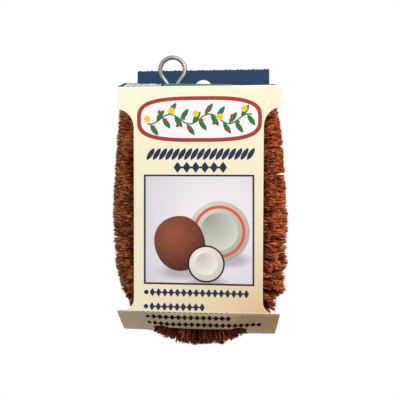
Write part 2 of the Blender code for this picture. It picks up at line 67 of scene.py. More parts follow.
CAMERA_DISTANCE = 0.500  # from the front card
CAMERA_HEIGHT = -0.0726
CAMERA_ASIDE = 0.003
CAMERA_TURN = math.radians(0.35)
LENS = 91.0
SENSOR = 36.0
DOME_LOW = (0.28, 0.225, 0.170, 1.0)  # soft light from all round, weak and warm from below
DOME_HIGH = (0.40, 0.39, 0.375, 1.0)
DOME_EASE = 0.4  # it changes between this far below the level and this far above
WHITE = (1.0, 1.0, 1.0, 1.0)
LAMPS = (  # name, place from the brush's middle, width, power and colour
    ("key_light", (0.50, -0.75, 0.62), 0.45, 11.4, (1.0, 0.98, 0.95)),
    ("fill_light", (-0.75, -0.6, 0.35), 0.7, 2.6, (0.97, 0.98, 1.0)),
    ("rear_light", (0.1, 0.9, 0.6), 0.6, 4.0, (1.0, 0.99, 0.97)),
)
FLOOR_DROP = 0.40  # floor below the hook that the brush hangs from
FLOOR_RADIUS = 0.95
FLOOR_SIDES = 96
FLOOR_GREY = (0.86, 0.85, 0.83, 1.0)
FLOOR_ROUGH = 0.8
PLAIN_SHINE = 0.5  # specular level of a surface that is neither dull nor glossy
RELIEF = 0.0001  # depth of the fine relief of wire, fibre and board

camera_data = bpy.data.cameras.new("camera")
camera_data.lens = LENS
camera_data.sensor_width = SENSOR
camera = bpy.data.objects.new("camera", camera_data)
camera.location = (MIDDLE + CAMERA_ASIDE, FRONT - CAMERA_DISTANCE, CAMERA_HEIGHT)
camera.rotation_euler = (math.pi / 2, 0, CAMERA_TURN)
bpy.context.collection.objects.link(camera)
bpy.context.scene.camera = camera
bpy.context.scene.view_settings.view_transform = "Standard"


class Mixture:
    """Nodes of a material or of the sky, added step by step. A step takes plain values or the results of
    other steps, and gives back its own result."""

    def __init__(self, owner):
        owner.use_nodes = True
        self.owner = owner
        self.tree = owner.node_tree

    def join(self, value, socket):
        """Gives a socket a plain value or another step's result."""
        if isinstance(value, bpy.types.NodeSocket):
            self.tree.links.new(value, socket)
        else:
            socket.default_value = value

    def step(self, kind, sockets=None, result=0, **settings):
        """One node of any kind."""
        node = self.tree.nodes.new("ShaderNode" + kind)
        for name, value in settings.items():
            setattr(node, name, value)
        for name, value in (sockets or {}).items():
            self.join(value, node.inputs[name])
        return node.outputs[result] if node.outputs else None

    def spread(self, value, low, high, start=0.0, end=1.0, **settings):
        """Values from start to end, stretched to run from low to high."""
        sockets = {"Value": value, "From Min": start, "From Max": end, "To Min": low, "To Max": high}
        return self.step("MapRange", sockets, **settings)

    def number(self, operation, *values, **settings):
        """Arithmetic on numbers."""
        return self.step("Math", dict(enumerate(values)), operation=operation, **settings)

    def vector(self, operation, one, other, result=0):
        """Arithmetic on places or colours."""
        return self.step("VectorMath", {0: one, 1: other}, result, operation=operation)

    def mix(self, share, one, other):
        """A colour between two others."""
        return self.step("Mix", {"Factor": share, "A": one, "B": other}, "Result", data_type="RGBA")

    def tinted(self, colour, share):
        """A colour made darker or lighter by a share."""
        return self.step("VectorMath", {0: colour, "Scale": share}, operation="SCALE")

    def ramp(self, share, stops):
        """A colour that runs through stops, each a place and a colour."""
        colour = self.step("ValToRGB", {"Fac": share}, "Color")
        elements = colour.node.color_ramp.elements
        for place, _ in stops[1:-1]:
            elements.new(place)
        for element, (place, shade) in zip(elements, stops):
            element.position, element.color = place, shade
        return colour

    def place(self):
        """Where a point lies on the piece."""
        return self.step("TexCoord", result="Object")

    def carried(self, name):
        """A number that each point or face of the mesh carries."""
        return self.step("Attribute", result="Fac", attribute_name=name)

    def noise(self, scale, detail):
        """Cloudy noise all over the piece."""
        return self.step("TexNoise", {"Vector": self.place(), "Scale": scale, "Detail": detail})

    def finish(self, colour, rough, shine=PLAIN_SHINE, relief=None, strength=0.0, metal=0.0):
        """Joins everything to the surface, and gives back the finished material."""
        surface = self.tree.nodes["Principled BSDF"].inputs
        names = ("Base Color", "Roughness", "Specular IOR Level", "Metallic")
        for name, value in zip(names, (colour, rough, shine, metal)):
            self.join(value, surface[name])
        if relief:
            bump = self.step("Bump", {"Height": relief, "Strength": strength, "Distance": RELIEF})
            self.join(bump, surface["Normal"])
        return self.owner


world = bpy.data.worlds.new("studio")
sky = Mixture(world)
sky.tree.nodes.clear()
rise = sky.step("SeparateXYZ", {0: sky.step("TexCoord", result="Generated")}, "Z")
dome_colour = sky.mix(sky.spread(rise, 0.0, 1.0, -DOME_EASE, DOME_EASE), DOME_LOW, DOME_HIGH)
dome = sky.step("Background", {"Color": dome_colour})
ground = sky.step("Background", {"Color": WHITE})
seen = sky.step("LightPath", result="Is Camera Ray")
sky.step("OutputWorld", {"Surface": sky.step("MixShader", {0: seen, 1: dome, 2: ground})})
bpy.context.scene.world = world

for name, (x, y, z), width, power, colour in LAMPS:
    lamp = bpy.data.lights.new(name, "AREA")
    lamp.size, lamp.energy, lamp.color = width, power, colour
    light = bpy.data.objects.new(name, lamp)
    light.location = (MIDDLE + x, y, CAMERA_HEIGHT + z)
    down, round_to = math.atan2(z, math.hypot(x, y)), math.atan2(-y, -x)
    light.rotation_euler = (math.pi / 2 - down, 0, round_to - math.pi / 2)
    bpy.context.collection.objects.link(light)

turn = np.linspace(0, 2 * np.pi, FLOOR_SIDES, endpoint=False)
rim = FLOOR_RADIUS * np.stack([np.cos(turn), np.sin(turn), 0 * turn], axis=1) + (MIDDLE, 0, -FLOOR_DROP)
floor_mesh = bpy.data.meshes.new("floor")
floor_mesh.from_pydata(rim.tolist(), [], [list(range(FLOOR_SIDES))])
floor_mesh.materials.append(Mixture(bpy.data.materials.new("pale_floor")).finish(FLOOR_GREY, FLOOR_ROUGH))
floor = bpy.data.objects.new("floor", floor_mesh)
bpy.context.collection.objects.link(floor)
floor.visible_diffuse = False


# The galvanised wire
# One length of zinc-coated steel wire, folded double over the right leg. Its two strands are twisted
# together round the bend up to the left leg, where one end goes on into the hanging eye and hooks across
# into the fold.
WIRE_RADIUS = 0.0011
STRAND_APART = 0.0015  # from the middle of the twisted pair to the middle of each strand
BEND_RADIUS = 0.023
LEG_LENGTH = 0.0805
LEG_LEAN = 0.003  # each leg's top leans this far towards the other
TWISTS = 15
TWISTED_POINTS = 900
NECK_RISE = 0.0025  # twisted pair that stands out of the fibre at the left leg
FIBRE_TOP = SHOULDER - 0.0055
FOLD_RADIUS = 0.0026
EYE_RADIUS = 0.00645
CROSSING_DROP = 0.011  # from the middle of the eye down to where the wire passes itself
CROSSING_APART = 0.00135
TIE_START = 0.004
TIE_ROOM = 0.0003
HOOK_RUN = 0.0035
HOOK_RADIUS = 0.0022
HOOK_RISE = 0.001
WIRE_STEP = 0.0005
WIRE_SIDES = 16
KINK_ROUNDING = 0.0007
CUT_END = 0.8  # radius of the nipped ends, against the wire's
ZINC = (0.50, 0.525, 0.51, 1.0)
ZINC_DULL = (0.29, 0.31, 0.30, 1.0)
PAINTED_LIT_SIDE = (0.0, -0.92, 0.39)  # painted shade: the wire is brightest facing this way and darker round to the other side
PAINTED_SHADE_BRIGHTNESS = 0.26  # brightness of that painted shade on the other side
SPANGLE_SCALE = 900.0  # spangles to the metre
ZINC_CLOUDS = 420.0

BEND_RUN = math.pi * BEND_RADIUS
WHOLE_RUN = 2 * LEG_LENGTH + BEND_RUN
BEND_HEIGHT = FIBRE_TOP - LEG_LENGTH
LEG_TOP = BEND_RADIUS - LEG_LEAN
TIE_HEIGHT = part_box("cross_tie")[0].z + WIRE_RADIUS
EYE_MIDDLE = np.array((0.0, 0.0, WIRE_RADIUS - EYE_RADIUS))


def pair_line(run):
    """Middle of the twisted pair, and the way out of the U, at each run from the left leg's top: a half
    circle between two legs that lean in as the square of their height."""
    turn = np.clip((run - LEG_LENGTH) / BEND_RADIUS, 0, np.pi)
    outward = np.stack([-np.cos(turn), 0 * turn, -np.sin(turn)], axis=-1)
    height = np.maximum(0, np.maximum(LEG_LENGTH - run, run - LEG_LENGTH - BEND_RUN))
    lean = LEG_LEAN * np.minimum(1, height / LEG_LENGTH) ** 2 * np.sign(WHOLE_RUN / 2 - run)
    return BEND_RADIUS * outward + np.stack([MIDDLE + lean, 0 * run, BEND_HEIGHT + height], -1), outward


def strand(run, side):
    """One strand of the pair, a helix round its middle with a whole number of twists."""
    middle, outward = pair_line(run)
    turn = 2 * np.pi * TWISTS * np.clip(run / WHOLE_RUN, 0, 1)[:, None]
    return middle + side * STRAND_APART * (np.cos(turn) * np.array((0, 1, 0)) + np.sin(turn) * outward)


def cubic(start, start_pull, end_pull, end, share):
    """A cubic Bezier curve at shares of its way."""
    weights = ((1 - share) ** 3, 3 * share * (1 - share) ** 2, 3 * share**2 * (1 - share), share**3)
    return sum(weight * pull for weight, pull in zip(weights, (start, start_pull, end_pull, end)))


def even_points(points, step, softness):
    """The same path with even steps, its kinks rounded by a bell-shaped average of the given half width."""
    along = np.concatenate([[0], np.cumsum(np.linalg.norm(np.diff(points, axis=0), axis=1))])
    fine = np.linspace(0, along[-1], int(along[-1] / step))
    path = np.stack([np.interp(fine, along, points[:, k]) for k in range(3)], axis=1)
    reach = int(3 * softness / step)
    bell = np.exp(-0.5 * (np.arange(-reach, reach + 1) * step / softness) ** 2)
    before = 2 * path[0] - path[reach:0:-1]
    after = 2 * path[-1] - path[-2 : -reach - 2 : -1]
    longer = np.concatenate([before, path, after])
    return np.stack([np.convolve(longer[:, k], bell / bell.sum(), mode="valid") for k in range(3)], axis=1)


def mesh_of(name, points, quads, tris, carried=()):
    """Mesh from whole arrays of corners, four-sided faces and three-sided faces, and of the numbers that its
    points or faces carry."""
    mesh = bpy.data.meshes.new(name)
    mesh.vertices.add(len(points))
    mesh.vertices.foreach_set("co", points.astype(np.float32).ravel())
    mesh.loops.add(4 * len(quads) + 3 * len(tris))
    mesh.loops.foreach_set("vertex_index", np.concatenate([quads.ravel(), tris.ravel()]).astype(np.int32))
    starts = np.concatenate([4 * np.arange(len(quads)), 4 * len(quads) + 3 * np.arange(len(tris))])
    mesh.polygons.add(len(starts))
    mesh.polygons.foreach_set("loop_start", starts.astype(np.int32))
    mesh.update(calc_edges=True)
    mesh.validate()
    for label, domain, values in carried:
        mesh.attributes.new(label, "FLOAT", domain).data.foreach_set("value", values.astype(np.float32))
    return mesh


def smoothed(mesh, sharp):
    """Smooth shading that keeps edges sharper than an angle in degrees."""
    mesh.shade_smooth()
    mesh.set_sharp_from_angle(angle=math.radians(sharp))
    return mesh


def show(name, mesh, material, slot, *nodes):
    """Puts a mesh into the scene as one piece that stands for some nodes of the frame."""
    piece = bpy.data.objects.new(name, mesh)
    mesh.materials.append(material)
    bpy.context.collection.objects.link(piece)
    if nodes:
        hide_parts(*nodes)
    return piece


def across_path(forward, any_way):
    """Two ways square to a path and to each other, from its own way and any other."""
    forward /= np.linalg.norm(forward, axis=-1, keepdims=True) + 1e-12
    beside = np.cross(forward, any_way)
    beside /= np.linalg.norm(beside, axis=-1, keepdims=True) + 1e-12
    return beside, np.cross(forward, beside)


def tube(name, path, radius, sides):
    """Round tube: a circle across the path's direction at every point, closed by a fan at each end."""
    beside, upward = across_path(np.gradient(path, axis=0), (0.8, -0.6, 0.0))
    turn = np.linspace(0, 2 * np.pi, sides, endpoint=False)[None, :, None]
    circle = np.cos(turn) * beside[:, None] + np.sin(turn) * upward[:, None]
    rings = path[:, None] + radius[:, None, None] * circle
    count = len(path)
    index = np.arange(count * sides).reshape(count, sides)
    after = np.roll(index, -1, axis=1)
    quads = np.stack([index[:-1], after[:-1], after[1:], index[1:]], axis=-1).reshape(-1, 4)
    first, last = count * sides, count * sides + 1
    start = np.stack([after[0], index[0], np.full(sides, first)], axis=1)
    end = np.stack([index[-1], after[-1], np.full(sides, last)], axis=1)
    points = np.concatenate([rings.reshape(-1, 3), path[:1], path[-1:]])
    return smoothed(mesh_of(name, points, quads, np.concatenate([start, end])), 50)


def zinc():
    """Dull zinc coat: cloudy spangles in two greys, with painted shade: bright in front, darker behind and
    below.
    """
    coat = Mixture(bpy.data.materials.new("galvanised_wire"))
    spangle = coat.step("TexVoronoi", {"Vector": coat.place(), "Scale": SPANGLE_SCALE}, "Distance")
    cloud = coat.noise(ZINC_CLOUDS, 4.0)
    grey = coat.ramp(coat.number("MULTIPLY", spangle, cloud), ((0.08, ZINC_DULL), (0.38, ZINC)))
    # Painted shade: the colour darkens as the surface turns away from the lit front
    facing = coat.vector("DOT_PRODUCT", coat.step("TexCoord", result="Normal"), PAINTED_LIT_SIDE, "Value")
    colour = coat.tinted(grey, coat.spread(facing, PAINTED_SHADE_BRIGHTNESS, 1.0, 0.0, 0.9))
    return coat.finish(colour, coat.spread(cloud, 0.48, 0.66), relief=cloud, strength=0.25, metal=1.0)


left_top = np.array((MIDDLE - LEG_TOP, 0.0, FIBRE_TOP))
right_top = np.array((MIDDLE + LEG_TOP, 0.0, TIE_HEIGHT))
runs = np.linspace(-NECK_RISE, WHOLE_RUN, TWISTED_POINTS)
below = math.asin(math.sqrt(FOLD_RADIUS**2 - STRAND_APART**2) / FOLD_RADIUS)
over = np.linspace(math.pi + below, -below, 16)[1:-1]
fold_bow = right_top + FOLD_RADIUS * np.stack([0 * over, -np.cos(over), np.sin(over)], axis=1)

slant = math.asin(EYE_RADIUS / CROSSING_DROP)
rising = np.array((math.sin(slant), 0, math.cos(slant)))
falling = np.array((math.sin(slant), 0, -math.cos(slant)))
crossing = EYE_MIDDLE - np.array((0, 0, CROSSING_DROP))
front_pass = crossing - np.array((0, CROSSING_APART, 0))
rear_pass = crossing + np.array((0, CROSSING_APART, 0))
neck = left_top + np.array((0, -STRAND_APART, NECK_RISE))
shares = np.linspace(0, 1, 12)[:, None]
pull = np.linalg.norm(crossing - neck) / 3
to_eye = cubic(neck, neck + (0, 0, pull), front_pass - pull * rising, front_pass, shares)
sweep = np.linspace(-slant, math.pi + slant, 40)
shift = np.linspace(-CROSSING_APART, CROSSING_APART, 40)
eye = EYE_MIDDLE + np.stack([EYE_RADIUS * np.cos(sweep), shift, EYE_RADIUS * np.sin(sweep)], axis=1)
tie_from = np.array((MIDDLE - TIE_START, CROSSING_APART, TIE_HEIGHT))
pull = np.linalg.norm(tie_from - crossing) / 3
to_tie = cubic(rear_pass, rear_pass + pull * falling, tie_from - (pull, 0, 0), tie_from, shares)
tie_middle = (MIDDLE + TIE_START, CROSSING_APART / 2, TIE_HEIGHT)
tie_to = np.array((MIDDLE + LEG_TOP + HOOK_RUN, 0, TIE_HEIGHT))
tie = np.stack([tie_from + (TIE_ROOM, 0, 0), tie_middle, right_top, tie_to])
quarter = np.linspace(0, math.pi / 2, 8)[1:]
hook = tie_to + HOOK_RADIUS * np.stack([np.sin(quarter), 0 * quarter, 1 - np.cos(quarter)], axis=1)
hook_end = hook[-1:] + (0, 0, HOOK_RISE)

route = [strand(runs, 1), fold_bow, strand(runs[::-1], -1)]
route += [to_eye[1:], eye[1:], to_tie[1:], tie, hook, hook_end]
wire_path = even_points(np.concatenate(route), WIRE_STEP, KINK_ROUNDING)
wire_radius = np.full(len(wire_path), WIRE_RADIUS)
wire_radius[[0, -1]] *= CUT_END
wire_mesh = tube("wire", wire_path, wire_radius, WIRE_SIDES)
wire_nodes = ("twisted_core", "hanging_eye", "cross_tie", "fold_loop")
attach(show("wire", wire_mesh, zinc(), "galvanised_wire", *wire_nodes), "brush")


# The coir fibre
# Stiff brown coconut fibres, gripped across their middles between the two strands and trimmed by hand. The
# twist fans them out all round, and their tips lean together in wisps and tufts that spread apart round
# the bend.
TRIM = (  # run along the pair from the left leg's top, and how far the fibres reach from it there
    (0.000, 0.0212),
    (0.056, 0.0221),
    (0.072, 0.0210),
    (0.087, 0.0195),
    (0.100, 0.0214),
    (0.118, 0.0213),
    (0.122, 0.0221),
    (0.126, 0.0213),
    (0.130, 0.0223),
    (0.1370, 0.0226),
    (0.1388, 0.0238),
    (0.1397, 0.0210),
    (0.1418, 0.0204),
    (0.1437, 0.0232),
    (0.1455, 0.0216),
    (0.153, 0.0207),
    (0.163, 0.0212),
    (0.172, 0.0218),
    (0.210, 0.0210),
    (0.224, 0.0202),
    (0.233, 0.0186),
)
REACH = 0.022
HEART = 0.0125  # the dense middle, too deep to see single fibres
HEART_CELLS = (24, 48)  # along and round each slice
HEART_ROUGH = 0.0004
# Painted shade: the heart takes the tone of fibres deep in shadow
HEART_SHADE_TONE = 0.12
BORE = 0.0028
END_DEPTH = 0.005  # at the ends of the brush the single fibres show down to the wire
INSIDE = 0.0220  # from the middle to the inner face of the front and back card
CARD = 0.00045
LAY_ROOM = 0.0003  # between the bottom card and the fibres that lie on it
FIBRES = 6300  # in each slice
FIBRE_RADIUS = 0.00021
FIBRE_TAPER = 0.62
FIBRE_STOPS = (0.0, 0.45, 0.8, 1.0)  # shares of a fibre's length at which it bends
SWEEP = 0.42  # radians by which a root stands nearer to the front or back of the leg than its tip, at most
WISP = 0.0012  # width of a wisp of a few fibres at the tips
TUFT = 0.0034  # width of a tuft of wisps
TUFT_HOLD = 0.86  # how much of their spread the wisps keep at a tuft's tip, at the tops of the legs
TUFT_HOLD_LOW = 0.52  # the same round the bend
LONGEST = 1.045  # of a wisp, against the trim
SHAKE = 0.45  # of the even grid of wisps and tufts, against its pitch
LENGTH_SPREAD = (0.012, 0.010, 0.010)  # of tufts, wisps and single fibres
LENGTH_LIMITS = ((-0.035, 0.02), (-0.025, 0.02))  # of tufts and wisps
LENGTH_AT_BEND = 1.6  # wisps differ this much more in length round the bend
TONE_SPREAD = (0.095, 0.19, 0.23)  # of tufts, wisps and single fibres
GOLD_SPREAD = 0.27
THICK_SPREAD = (0.65, 1.35)
ROOT_SPREAD = (0.0005, 0.0011)  # along and round the wire
TIP_SPREAD = (0.00022, 0.00075)  # inside a wisp, from the tightest wisp to the loosest
BOW_SPREAD = 0.00034
GATHER_POWER = 1.5  # by which a fibre goes over from its root's place to its tip's
SWEEP_POWER = 1.3
ROOT_INSIDE = 0.0012  # roots start this far inside the heart
ROOT_CLEAR = 0.0004  # or, at the ends of the brush, this far outside its bore
MIDDLE_GAP = (0.0012, 0.0008)  # inner fibres end this far short of the middle plane, or past it
BEND_ROOM = (0.78, 0.97)  # inner fibres of the bend end at these shares of the way to its middle
LEAST_STRETCH = 0.15  # near the middle of the bend, where neighbours meet
SLIT_BEND = 0.62  # share of the bend's length over which slits come twice a turn
LOOSE_BEND = 0.75  # the same over which the tufts are loose
BEND_SHADE_SPAN = 0.30  # the same over which the painted shade of the bend darkens the fibres most
CARD_ROOM = 0.0006
SLIT_PUSH = 0.0013  # how far the tips stand back from the slits between the turns of the twist
SLIT_SPREAD = 0.0013
SLIT_PHASE = 0.49
PARTING_RUN = 0.1951  # where the right leg's fibres part widest, on their outer side
PARTING_HOLD = 1.05
RAGGED_RUN = 0.146  # middle of the stretch at the lower right where the brush was trimmed ragged
RAGGED_WIDTH = 0.014
RAGGED_GRIP = 0.16  # its tufts draw this much tighter
SPIKE_PITCH = 0.0017  # along the wire, between the pointed tufts of that stretch
SPIKE_SWAY = (0.22, 2.3)  # share of the pitch by which their rows wander round the leg, and how fast
SPIKE_HOLD = 0.5
SPIKE_DEPTH = 0.19  # share of their length that the fibres between two spikes lack
SPIKE_REST = 0.22  # share of the pitch from a spike at which the fibres keep their length
STRAYS = 0.012  # share of fibres that stand out of the trim
STRAY_REACH = 1.035  # of the longest strays, against their length
PALE_ODDS = 0.05  # share of fibres that are much paler
PALE_LIFT = 0.35
COIR_SPECKS = 1300.0
TONE = 0.505  # of a plain fibre, between the darkest and the palest
BEND_SHADE = 0.37  # painted shade: round the bend they are this much darker
TONE_RIGHT = 0.13  # and at the right leg's top
TONE_MIXED = 0.32  # how much more the tones of the left leg's fibres differ
TONE_ALONG = (-0.40, 0.07)  # what a fibre's tone gains at its root, as painted shade deep in the brush, and at its tip
TONE_SPECKS = (-0.16, 0.16)  # and in its darkest and palest specks
TONE_CUT = (0.0, 0.22, 0.96)  # and at its cut end, which begins at the last of these shares
REDDER_FROM = (0.4, 0.4)  # share of the run from which the fibre turns redder, and over which it does
RIGHT_FROM = (0.5, 0.1)  # the same of what belongs to the right leg
RIGHT_TOP_FROM = (0.68, 0.32)  # and to that leg's top
FACING = (0.76, 0.16)  # how squarely a fibre faces the front card where the card's painted shadow on it begins, and over how much
FACING_RIGHT = (0.08, 0.09)  # what the right leg takes from the first and adds to the second
FACING_SHADE = (0.28, 0.06)  # how much darker that painted shadow makes it, and what the right leg's top adds
GOLD = (0.10, 0.30)  # how golden the left leg is all round, and what its outer side adds as painted light through its thin tips
GOLD_RIGHT = (0.25, 0.22)  # what the right leg takes from each
GOLD_LOW = 0.8  # share of the gold that the painted shade takes from the darkest stretch of the bend
COIR_SHADES = (  # from the darkest tone to the palest
    (0.00, (0.030, 0.005, 0.0012, 1.0)),
    (0.30, (0.15, 0.018, 0.0036, 1.0)),
    (0.62, (0.46, 0.062, 0.010, 1.0)),
    (1.00, (0.84, 0.27, 0.09, 1.0)),
)
COIR_GOLD = (0.92, 1.75, 2.1)  # what a golden fibre's colour is multiplied by
COIR_ROUGH = 0.42
COIR_SHINE = 0.18

OPENING_HALF = 0.024
STRIP_DEPTH = 0.0088  # card in front of the opening
STRIP_BULGE = 0.0018
CORNER_WIDTH = 0.008  # rounded front corner at each end of the opening
CORNER_DEPTH = 0.010
REAR_STRIP = 0.0045
EDGE_ROOM = 0.0013
HALF_PANEL = 0.0403
PANEL_GAP = 0.0003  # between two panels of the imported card
FOLD_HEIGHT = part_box("back_panel")[0].z - CARD - PANEL_GAP  # of the fold between bottom and back card
BOTTOM_CURVE = 3.6
SIDE_CURVE = 1.2
CURVE_EASE = 3
FOOT_TILT = 0.0010  # the hand-folded lower crease hangs this much lower at its right end, higher at its left
REAR_TILT = 0.0014  # the same of the rear fold


def bottom_power(x):
    """Power that the bottom card's section follows: high between the opening's corners, easing to a low one
    at the sides as the cube of the distance from them."""
    beside = np.clip((HALF_PANEL - np.abs(x - MIDDLE)) / (HALF_PANEL - OPENING_HALF + CORNER_WIDTH), 0, 1)
    return SIDE_CURVE + (BOTTOM_CURVE - SIDE_CURVE) * beside**CURVE_EASE


def bottom_height(x, y):
    """Height of the bottom card's outer face: a power of the distance from the rear fold, tilted down to the
    right."""
    share = np.clip((BACK - y) / (BACK - FRONT), 0, 1)
    tilt = (REAR_TILT + (FOOT_TILT - REAR_TILT) * share) * (x - MIDDLE) / HALF_PANEL
    return FOLD_HEIGHT + (FOOT - FOLD_HEIGHT) * share ** bottom_power(x) - tilt


def bottom_slope(x, y):
    """Fall of the bottom card towards the back, as a centred difference."""
    step = 1e-5
    return (bottom_height(x, y - step) - bottom_height(x, y + step)) / (2 * step)


def bottom_inside(x, y):
    """Height at which fibres lie on the bottom card: its thickness and a little more, square to its slope."""
    return bottom_height(x, y) + (CARD + LAY_ROOM) * np.hypot(1, bottom_slope(x, y))


def opening_front(x):
    """Front edge of the opening: a shallow parabola, deepest at the middle, with rounded corners."""
    share = np.minimum(1, np.abs(x - MIDDLE) / OPENING_HALF)
    corner = np.maximum(0, 1 - (1 - share) * OPENING_HALF / CORNER_WIDTH)
    return FRONT + STRIP_DEPTH + STRIP_BULGE * (1 - share**2) + CORNER_DEPTH * corner**2


def off_the_bottom_card(path):
    """Fibres that would pierce the bottom card outside its opening lie on its inner face instead."""
    fine = np.linspace(0, 3, 31)
    low = np.minimum(fine.astype(int), 2)
    part = (fine - low)[:, None, None]
    x, y, z = np.moveaxis(path[low] * (1 - part) + path[low + 1] * part, -1, 0)
    under = z < bottom_inside(x, y)
    at = under.argmax(axis=0)
    fibre = np.arange(path.shape[1])
    hit_x, hit_y = x[at, fibre], y[at, fibre]
    through = (np.abs(hit_x - MIDDLE) < OPENING_HALF - EDGE_ROOM) & (hit_y < BACK - REAR_STRIP - EDGE_ROOM)
    through &= hit_y > opening_front(hit_x) + EDGE_ROOM
    lying = np.maximum(path[..., 2], bottom_inside(path[..., 0], path[..., 1]))
    path[..., 2] = np.where(under.any(axis=0) & ~through, lying, path[..., 2])
    return path


def round_wire(run, angle, distance):
    """A point at a distance from the pair's middle; angle 0 is the outer side of the U."""
    middle, outward = pair_line(run)
    aside = np.cos(angle)[..., None] * outward + np.sin(angle)[..., None] * np.array((0, 1, 0))
    return middle + distance[..., None] * aside


def in_bend(run):
    """Whether each run lies on the half circle."""
    return (run > LEG_LENGTH) & (run < LEG_LENGTH + BEND_RUN)


def stretch(run, angle, distance):
    """How far apart two neighbouring runs lie out there, against their distance at the wire."""
    return np.where(in_bend(run), np.maximum(LEAST_STRETCH, 1 + distance * np.cos(angle) / BEND_RADIUS), 1.0)


def near(run, middle, reach):
    """1 near a run and 0 away from it: the bell of a fourth power."""
    return np.exp(-(((run - middle) / reach) ** 4))


def coir():
    """Coconut fibre: each fibre takes its own brown from dark to straw, darker towards its root as painted
    shade deep in the brush, pale at its cut tip, and specked all over; some are golden."""
    straw = Mixture(bpy.data.materials.new("coir_fibre"))
    speck = straw.noise(COIR_SPECKS, 3.0)
    along = straw.carried("along")
    shade = straw.carried("tone")
    for carrier, gain in ((along, TONE_ALONG), (speck, TONE_SPECKS), (along, TONE_CUT)):
        shade = straw.number("ADD", shade, straw.spread(carrier, *gain))
    brown = straw.ramp(shade, COIR_SHADES)
    colour = straw.mix(straw.carried("gold"), brown, straw.vector("MULTIPLY", brown, COIR_GOLD))
    return straw.finish(colour, COIR_ROUGH, COIR_SHINE, speck, 0.3)


def scattered(first, last, pitch, dice):
    """Run and angle of the middles of wisps or tufts at the tips: an even grid, shaken."""
    rows = round((last - first) / pitch)
    around = round(2 * math.pi * REACH / pitch)
    row, column = np.meshgrid(np.arange(rows), np.arange(around), indexing="ij")
    run = first + (row + 0.5 + dice.uniform(-SHAKE, SHAKE, row.shape)) * (last - first) / rows
    angle = 2 * np.pi * (column + dice.uniform(-SHAKE, SHAKE, row.shape)) / around
    return run.ravel(), angle.ravel()


def slit_push(run, angle):
    """How far tips stand back from the slits that follow the twist, and from the one wide parting: away from
    the nearest, less with each spread. Slits come once a turn, and twice a turn towards and round the
    bend."""
    bent = near(run, WHOLE_RUN / 2, SLIT_BEND * BEND_RUN)
    push = 0
    for phase, strength in ((0.0, 0.45 + 0.55 * run / WHOLE_RUN), (0.5, bent)):
        turns = TWISTS * run / WHOLE_RUN - angle / (2 * np.pi) + phase + SLIT_PHASE
        apart = (turns - np.round(turns)) * WHOLE_RUN / TWISTS
        push = push + strength * np.sign(apart) * np.exp(-np.abs(apart) / SLIT_SPREAD)
    apart = run - PARTING_RUN
    outer = np.clip(np.cos(angle), 0, 1) ** 2
    push = push + PARTING_HOLD * outer * np.sign(apart) * np.exp(-np.abs(apart) / SLIT_SPREAD)
    return SLIT_PUSH * push


def wisps_at_tips(first, last, dice):
    """The wisps of one slice: run, angle, how far each is drawn along and round the leg into its tuft or
    spike, its length against the trim, and its tone."""
    run, angle = scattered(first, last, WISP, dice)
    tuft_run, tuft_angle = scattered(first, last, TUFT, dice)
    tufts, wisps = len(tuft_run), len(run)
    apart_run = run[:, None] - tuft_run
    apart_angle = (angle[:, None] - tuft_angle + np.pi) % (2 * np.pi) - np.pi
    nearest = np.argmin(np.hypot(apart_run, REACH * apart_angle), axis=1)
    own = np.arange(wisps)
    low = near(run, WHOLE_RUN / 2, LOOSE_BEND * BEND_RUN)
    ragged = near(run, RAGGED_RUN, RAGGED_WIDTH)
    give = 1 - (TUFT_HOLD + (TUFT_HOLD_LOW - TUFT_HOLD) * low - RAGGED_GRIP * ragged)
    pull_run = -give * apart_run[own, nearest] + slit_push(run, angle)
    pull_angle = -give * apart_angle[own, nearest]
    spikes = run / SPIKE_PITCH + SPIKE_SWAY[0] * np.sin(SPIKE_SWAY[1] * angle)
    from_spike = spikes - np.round(spikes)
    pull_run -= ragged * SPIKE_HOLD * SPIKE_PITCH * from_spike
    tuft_length = np.clip(dice.normal(0, LENGTH_SPREAD[0], tufts), *LENGTH_LIMITS[0])
    own_length = np.clip(dice.normal(0, LENGTH_SPREAD[1], wisps), *LENGTH_LIMITS[1])
    length = 1 + tuft_length[nearest] * (0.5 + low + 2 * ragged)
    length *= 1 + own_length * (1 + LENGTH_AT_BEND * low)
    length *= 1 + ragged * SPIKE_DEPTH * (SPIKE_REST - np.abs(from_spike))
    tone = dice.normal(0, TONE_SPREAD[0], tufts)[nearest] + dice.normal(0, TONE_SPREAD[1], wisps)
    return run, angle, pull_run, pull_angle, np.minimum(length, LONGEST), tone


def fibre_lengths(run, angle, wisp_length, dice):
    """How far each fibre reaches from the wire: the trim there, shaken, a few strays longer; no further than
    the brush's middle plane or the card."""
    length = np.interp(run, *np.transpose(TRIM)) * wisp_length
    length *= 1 + dice.normal(0, LENGTH_SPREAD[2], FIBRES)
    length *= np.where(dice.random(FIBRES) < STRAYS, dice.uniform(1.0, STRAY_REACH, FIBRES), 1)
    room = np.where(
        in_bend(run),
        BEND_RADIUS * dice.uniform(*BEND_ROOM, FIBRES),
        np.abs(pair_line(run)[0][:, 0] - MIDDLE) + dice.uniform(-MIDDLE_GAP[0], MIDDLE_GAP[1], FIBRES),
    )
    length = np.minimum(length, room / np.maximum(1e-6, -np.cos(angle)))
    room = INSIDE - dice.uniform(0, CARD_ROOM, FIBRES)
    return np.minimum(length, room / np.maximum(1e-6, np.abs(np.sin(angle))))


